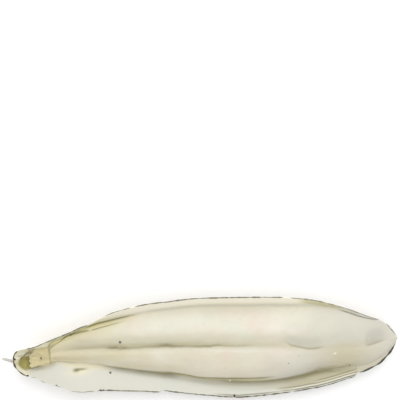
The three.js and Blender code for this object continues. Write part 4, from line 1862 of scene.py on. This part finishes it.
@dataclass
class BackGranules:
    """The low chalk granules that roughen the back, thickest towards the tail."""

    form: BoneForm
    rows: int = 90
    columns: int = 36
    start: float = 9.0
    end: float = 192.0
    room: float = 0.93
    apart: float = 0.95
    smallest: float = 0.22
    largest: float = 0.5
    flatness: float = 0.42
    lift: float = 0.05
    clear_of_rest: Slope = Slope(0.35, 1.0)
    thin_edge: Slope = Slope(0.55, 0.95)
    thin_edge_share: float = 0.75
    thin_front: Slope = Slope(60, 180)
    thin_front_share: float = 0.5

    def build(self) -> bpy.types.Object:
        """Scatter the granules over the back, clear of the patch that the bone rests on.

        Returns:
            The new object.
        """
        host = self._host()
        tree = GrowTree("back_granules", {
            "Least apart": self.apart * MM, "Smallest": self.smallest * MM, "Largest": self.largest * MM,
            "Flatness": self.flatness, "Seed": 12,
        })
        scattered = tree.add(
            "GeometryNodeDistributePointsOnFaces", {"distribute_method": "POISSON"},
            {
                "Density Max": 1 / (self.apart * MM) ** 2, "Mesh": tree.start.outputs["Geometry"],
                "Distance Min": tree.size("Least apart"), "Density Factor": tree.held("crowding"),
                "Seed": tree.size("Seed"),
            },
        )
        random_size = tree.draw("FLOAT", {2: tree.size("Smallest"), 3: tree.size("Largest")})
        points = {name: scattered.outputs[name] for name in ("Points", "Rotation")}
        tree.put_grains(points, 1, {"X": 1.0, "Y": 1.0, "Z": tree.size("Flatness")}, random_size)
        return tree.grow(host, ChalkFinish("granular_chalk", "#d6d1c4").build())

    def _host(self) -> bpy.types.Object:
        """Make a grid that lies on the back and holds how crowded the granules are.

        Returns:
            An object whose faces look outward.
        """
        form = self.form
        station = np.linspace(self.start, self.end, self.rows)[:, None] * np.ones(self.columns)[None, :]
        t = np.linspace(0, 1, self.columns)[None, :]
        right, left = form.edge(station, Side.RIGHT), form.edge(station, Side.LEFT)
        y = lerp(left, -right, t) * self.room
        z = form.back_height(station, y)
        x = station - form.length / 2
        points = np.stack([x, y + form.lean, z + self.lift], axis=-1).reshape(-1, 3) * MM
        here = np.arange(self.rows * self.columns).reshape(self.rows, self.columns)
        quads = np.stack([here[:-1, :-1], here[1:, :-1], here[1:, 1:], here[:-1, 1:]], axis=-1).reshape(-1, 4)
        edge = 1 - self.thin_edge_share * self.thin_edge.at(form.share_out(station, y))
        front = 1 - self.thin_front_share * self.thin_front.at(station)
        crowding = self.clear_of_rest.at(z) * edge * front
        return new_object("back_granules", points, [], quads.tolist(), {"crowding": crowding.ravel()})


@dataclass(frozen=True)
class FloorFinish:
    """Matt white studio paper, so pale that the bone's soft shadow hardly shows on it."""

    name: str = "studio_paper"
    colour: str = "#fdfdfd"

    def build(self) -> bpy.types.Material:
        """Make the material."""
        inputs = {"Base Color": linear(self.colour), "Roughness": 0.95, "Specular IOR Level": 0.0}
        return FinishTree(self.name, inputs).material


@dataclass
class Studio:
    """The floor, the soft light and the camera.

    The camera looks at the bone from the left of its long axis, so the right wing shows its inside, and it is
    aimed past the bone, which keeps the bone low in the picture.
    """

    form: BoneForm
    lens: float = 85.0
    sensor: float = 36.0
    image: float = 400.0
    tail_pixel: tuple[float, float] = (2.0, 359.0)
    front_pixel: tuple[float, float] = (397.8, 338.0)
    off_zenith: float = 20.0
    tip_height: float = 10.0
    floor_size: float = 6.0
    room_light: float = 0.8

    def build(self) -> None:
        """Make the floor, the lights and the camera."""
        self._floor()
        self._lights()
        self._camera()

    def _floor(self) -> None:
        """Make the floor."""
        half = self.floor_size / 2
        corners = [(-half, -half, 0), (half, -half, 0), (half, half, 0), (-half, half, 0)]
        floor = new_object("floor", corners, [], [(0, 1, 2, 3)], {})
        floor.data.materials.append(FloorFinish().build())

    def _lights(self) -> None:
        """Light the bone softly from the left, with a white room round it."""
        world = bpy.data.worlds.new("white_room")
        world.use_nodes = True
        background = world.node_tree.nodes["Background"]
        background.inputs["Color"].default_value = linear("#ffffff")
        background.inputs["Strength"].default_value = self.room_light
        bpy.context.scene.world = world
        self._area("soft_box", Vector((0.1, 0.9, 1.0)), size=0.9, power=8.5)
        self._area("fill", Vector((-0.5, -0.7, 0.9)), size=0.8, power=1.6)
        bpy.context.scene.view_settings.view_transform = "Standard"

    def _area(self, name: str, place: Vector, size: float, power: float) -> None:
        """Add a square area light that faces the bone.

        Args:
            name: The light's name.
            place: Where it is, in metres.
            size: The length of its side, in metres.
            power: Its power in watts.
        """
        light = bpy.data.lights.new(name, "AREA")
        light.shape = "SQUARE"
        light.size = size
        light.energy = power
        lamp = bpy.data.objects.new(name, light)
        lamp.matrix_world = Matrix.Translation(place) @ (-place).to_track_quat("-Z", "Y").to_matrix().to_4x4()
        bpy.context.scene.collection.objects.link(lamp)

    def _camera(self) -> None:
        """Place the camera so that the bone's two ends fall on their pixels."""
        half_angle = math.atan(self.sensor / 2 / self.lens)
        focal = self.image / 2 / math.tan(half_angle)
        tail, front = Vector(self.tail_pixel), Vector(self.front_pixel)
        span = front - tail
        middle = (tail + front) / 2
        right = middle.x - self.image / 2
        down = middle.y - self.image / 2
        pitch = math.atan(down / focal)
        yaw = math.atan(right * math.cos(pitch) / focal)
        roll = math.atan2(-span.y, span.x)
        distance = focal * self.form.length * MM / (span.length * math.cos(pitch))
        lean = math.radians(self.off_zenith)
        target = Vector((0, self.form.lean * MM, self.tip_height * MM))
        place = target + Vector((0, math.sin(lean), math.cos(lean))) * distance
        look = Matrix.Rotation(-lean, 4, "X")
        turn = Matrix.Rotation(-roll, 4, "Z") @ Matrix.Rotation(pitch, 4, "X") @ Matrix.Rotation(yaw, 4, "Y")
        data = bpy.data.cameras.new("camera")
        data.lens = self.lens
        data.sensor_width = self.sensor
        camera = bpy.data.objects.new("camera", data)
        camera.matrix_world = Matrix.Translation(place) @ look @ turn
        bpy.context.scene.collection.objects.link(camera)
        bpy.context.scene.camera = camera


def read_form() -> BoneForm:
    """Read the bone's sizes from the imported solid's box.

    Returns:
        The form, with its curves scaled to that box.
    """
    crown_share = 0.994
    low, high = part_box(NODE)
    return BoneForm(
        length=(high.x - low.x) / MM,
        half_width=(high.y - low.y) / 2 / MM,
        crown=(high.z - low.z) / MM / crown_share,
    )


def fasten(piece: bpy.types.Object, finish: bpy.types.Material | None = None) -> None:
    """Make a piece ride on the bone's body, with its finish, and report it.

    Args:
        piece: The piece.
        finish: Its material, or None where it has one.
    """
    if finish:
        piece.data.materials.clear()
        piece.data.materials.append(finish)
    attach(piece, BODY)
    piece.data.calc_loop_triangles()
    LOG.info("%s: %d triangles", piece.name, len(piece.data.loop_triangles))


def main() -> None:
    """Build the bone's pieces in order, then the studio round them."""
    logging.basicConfig(level=logging.INFO)
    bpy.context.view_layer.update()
    form = read_form()
    shell = ShellAndDome(form).build()
    broad_patches = (
        Patches("#dccabf", 16.0, 3.1, 0.6),
        Patches("#ccd0be", 21.0, 8.4, 0.6),
        Patches("#dedccf", 15.0, 5.7, 0.5),
    )
    fasten(shell, ChalkFinish("chalky_aragonite", "#d8d5c5", broad_patches, BELLY_TINTS).build())
    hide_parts(NODE)
    fasten(TailSpine(form).build(), HornFinish("dried_horn_spine", "#c6c3ba", "#8f8b80").build())
    fasten(MarginCuticleAndShadowLine(form).build())
    fasten(DirtSpecks(form).build())
    fasten(BackGranules(form).build())
    Studio(form).build()


if __name__ == "__main__":
    main()
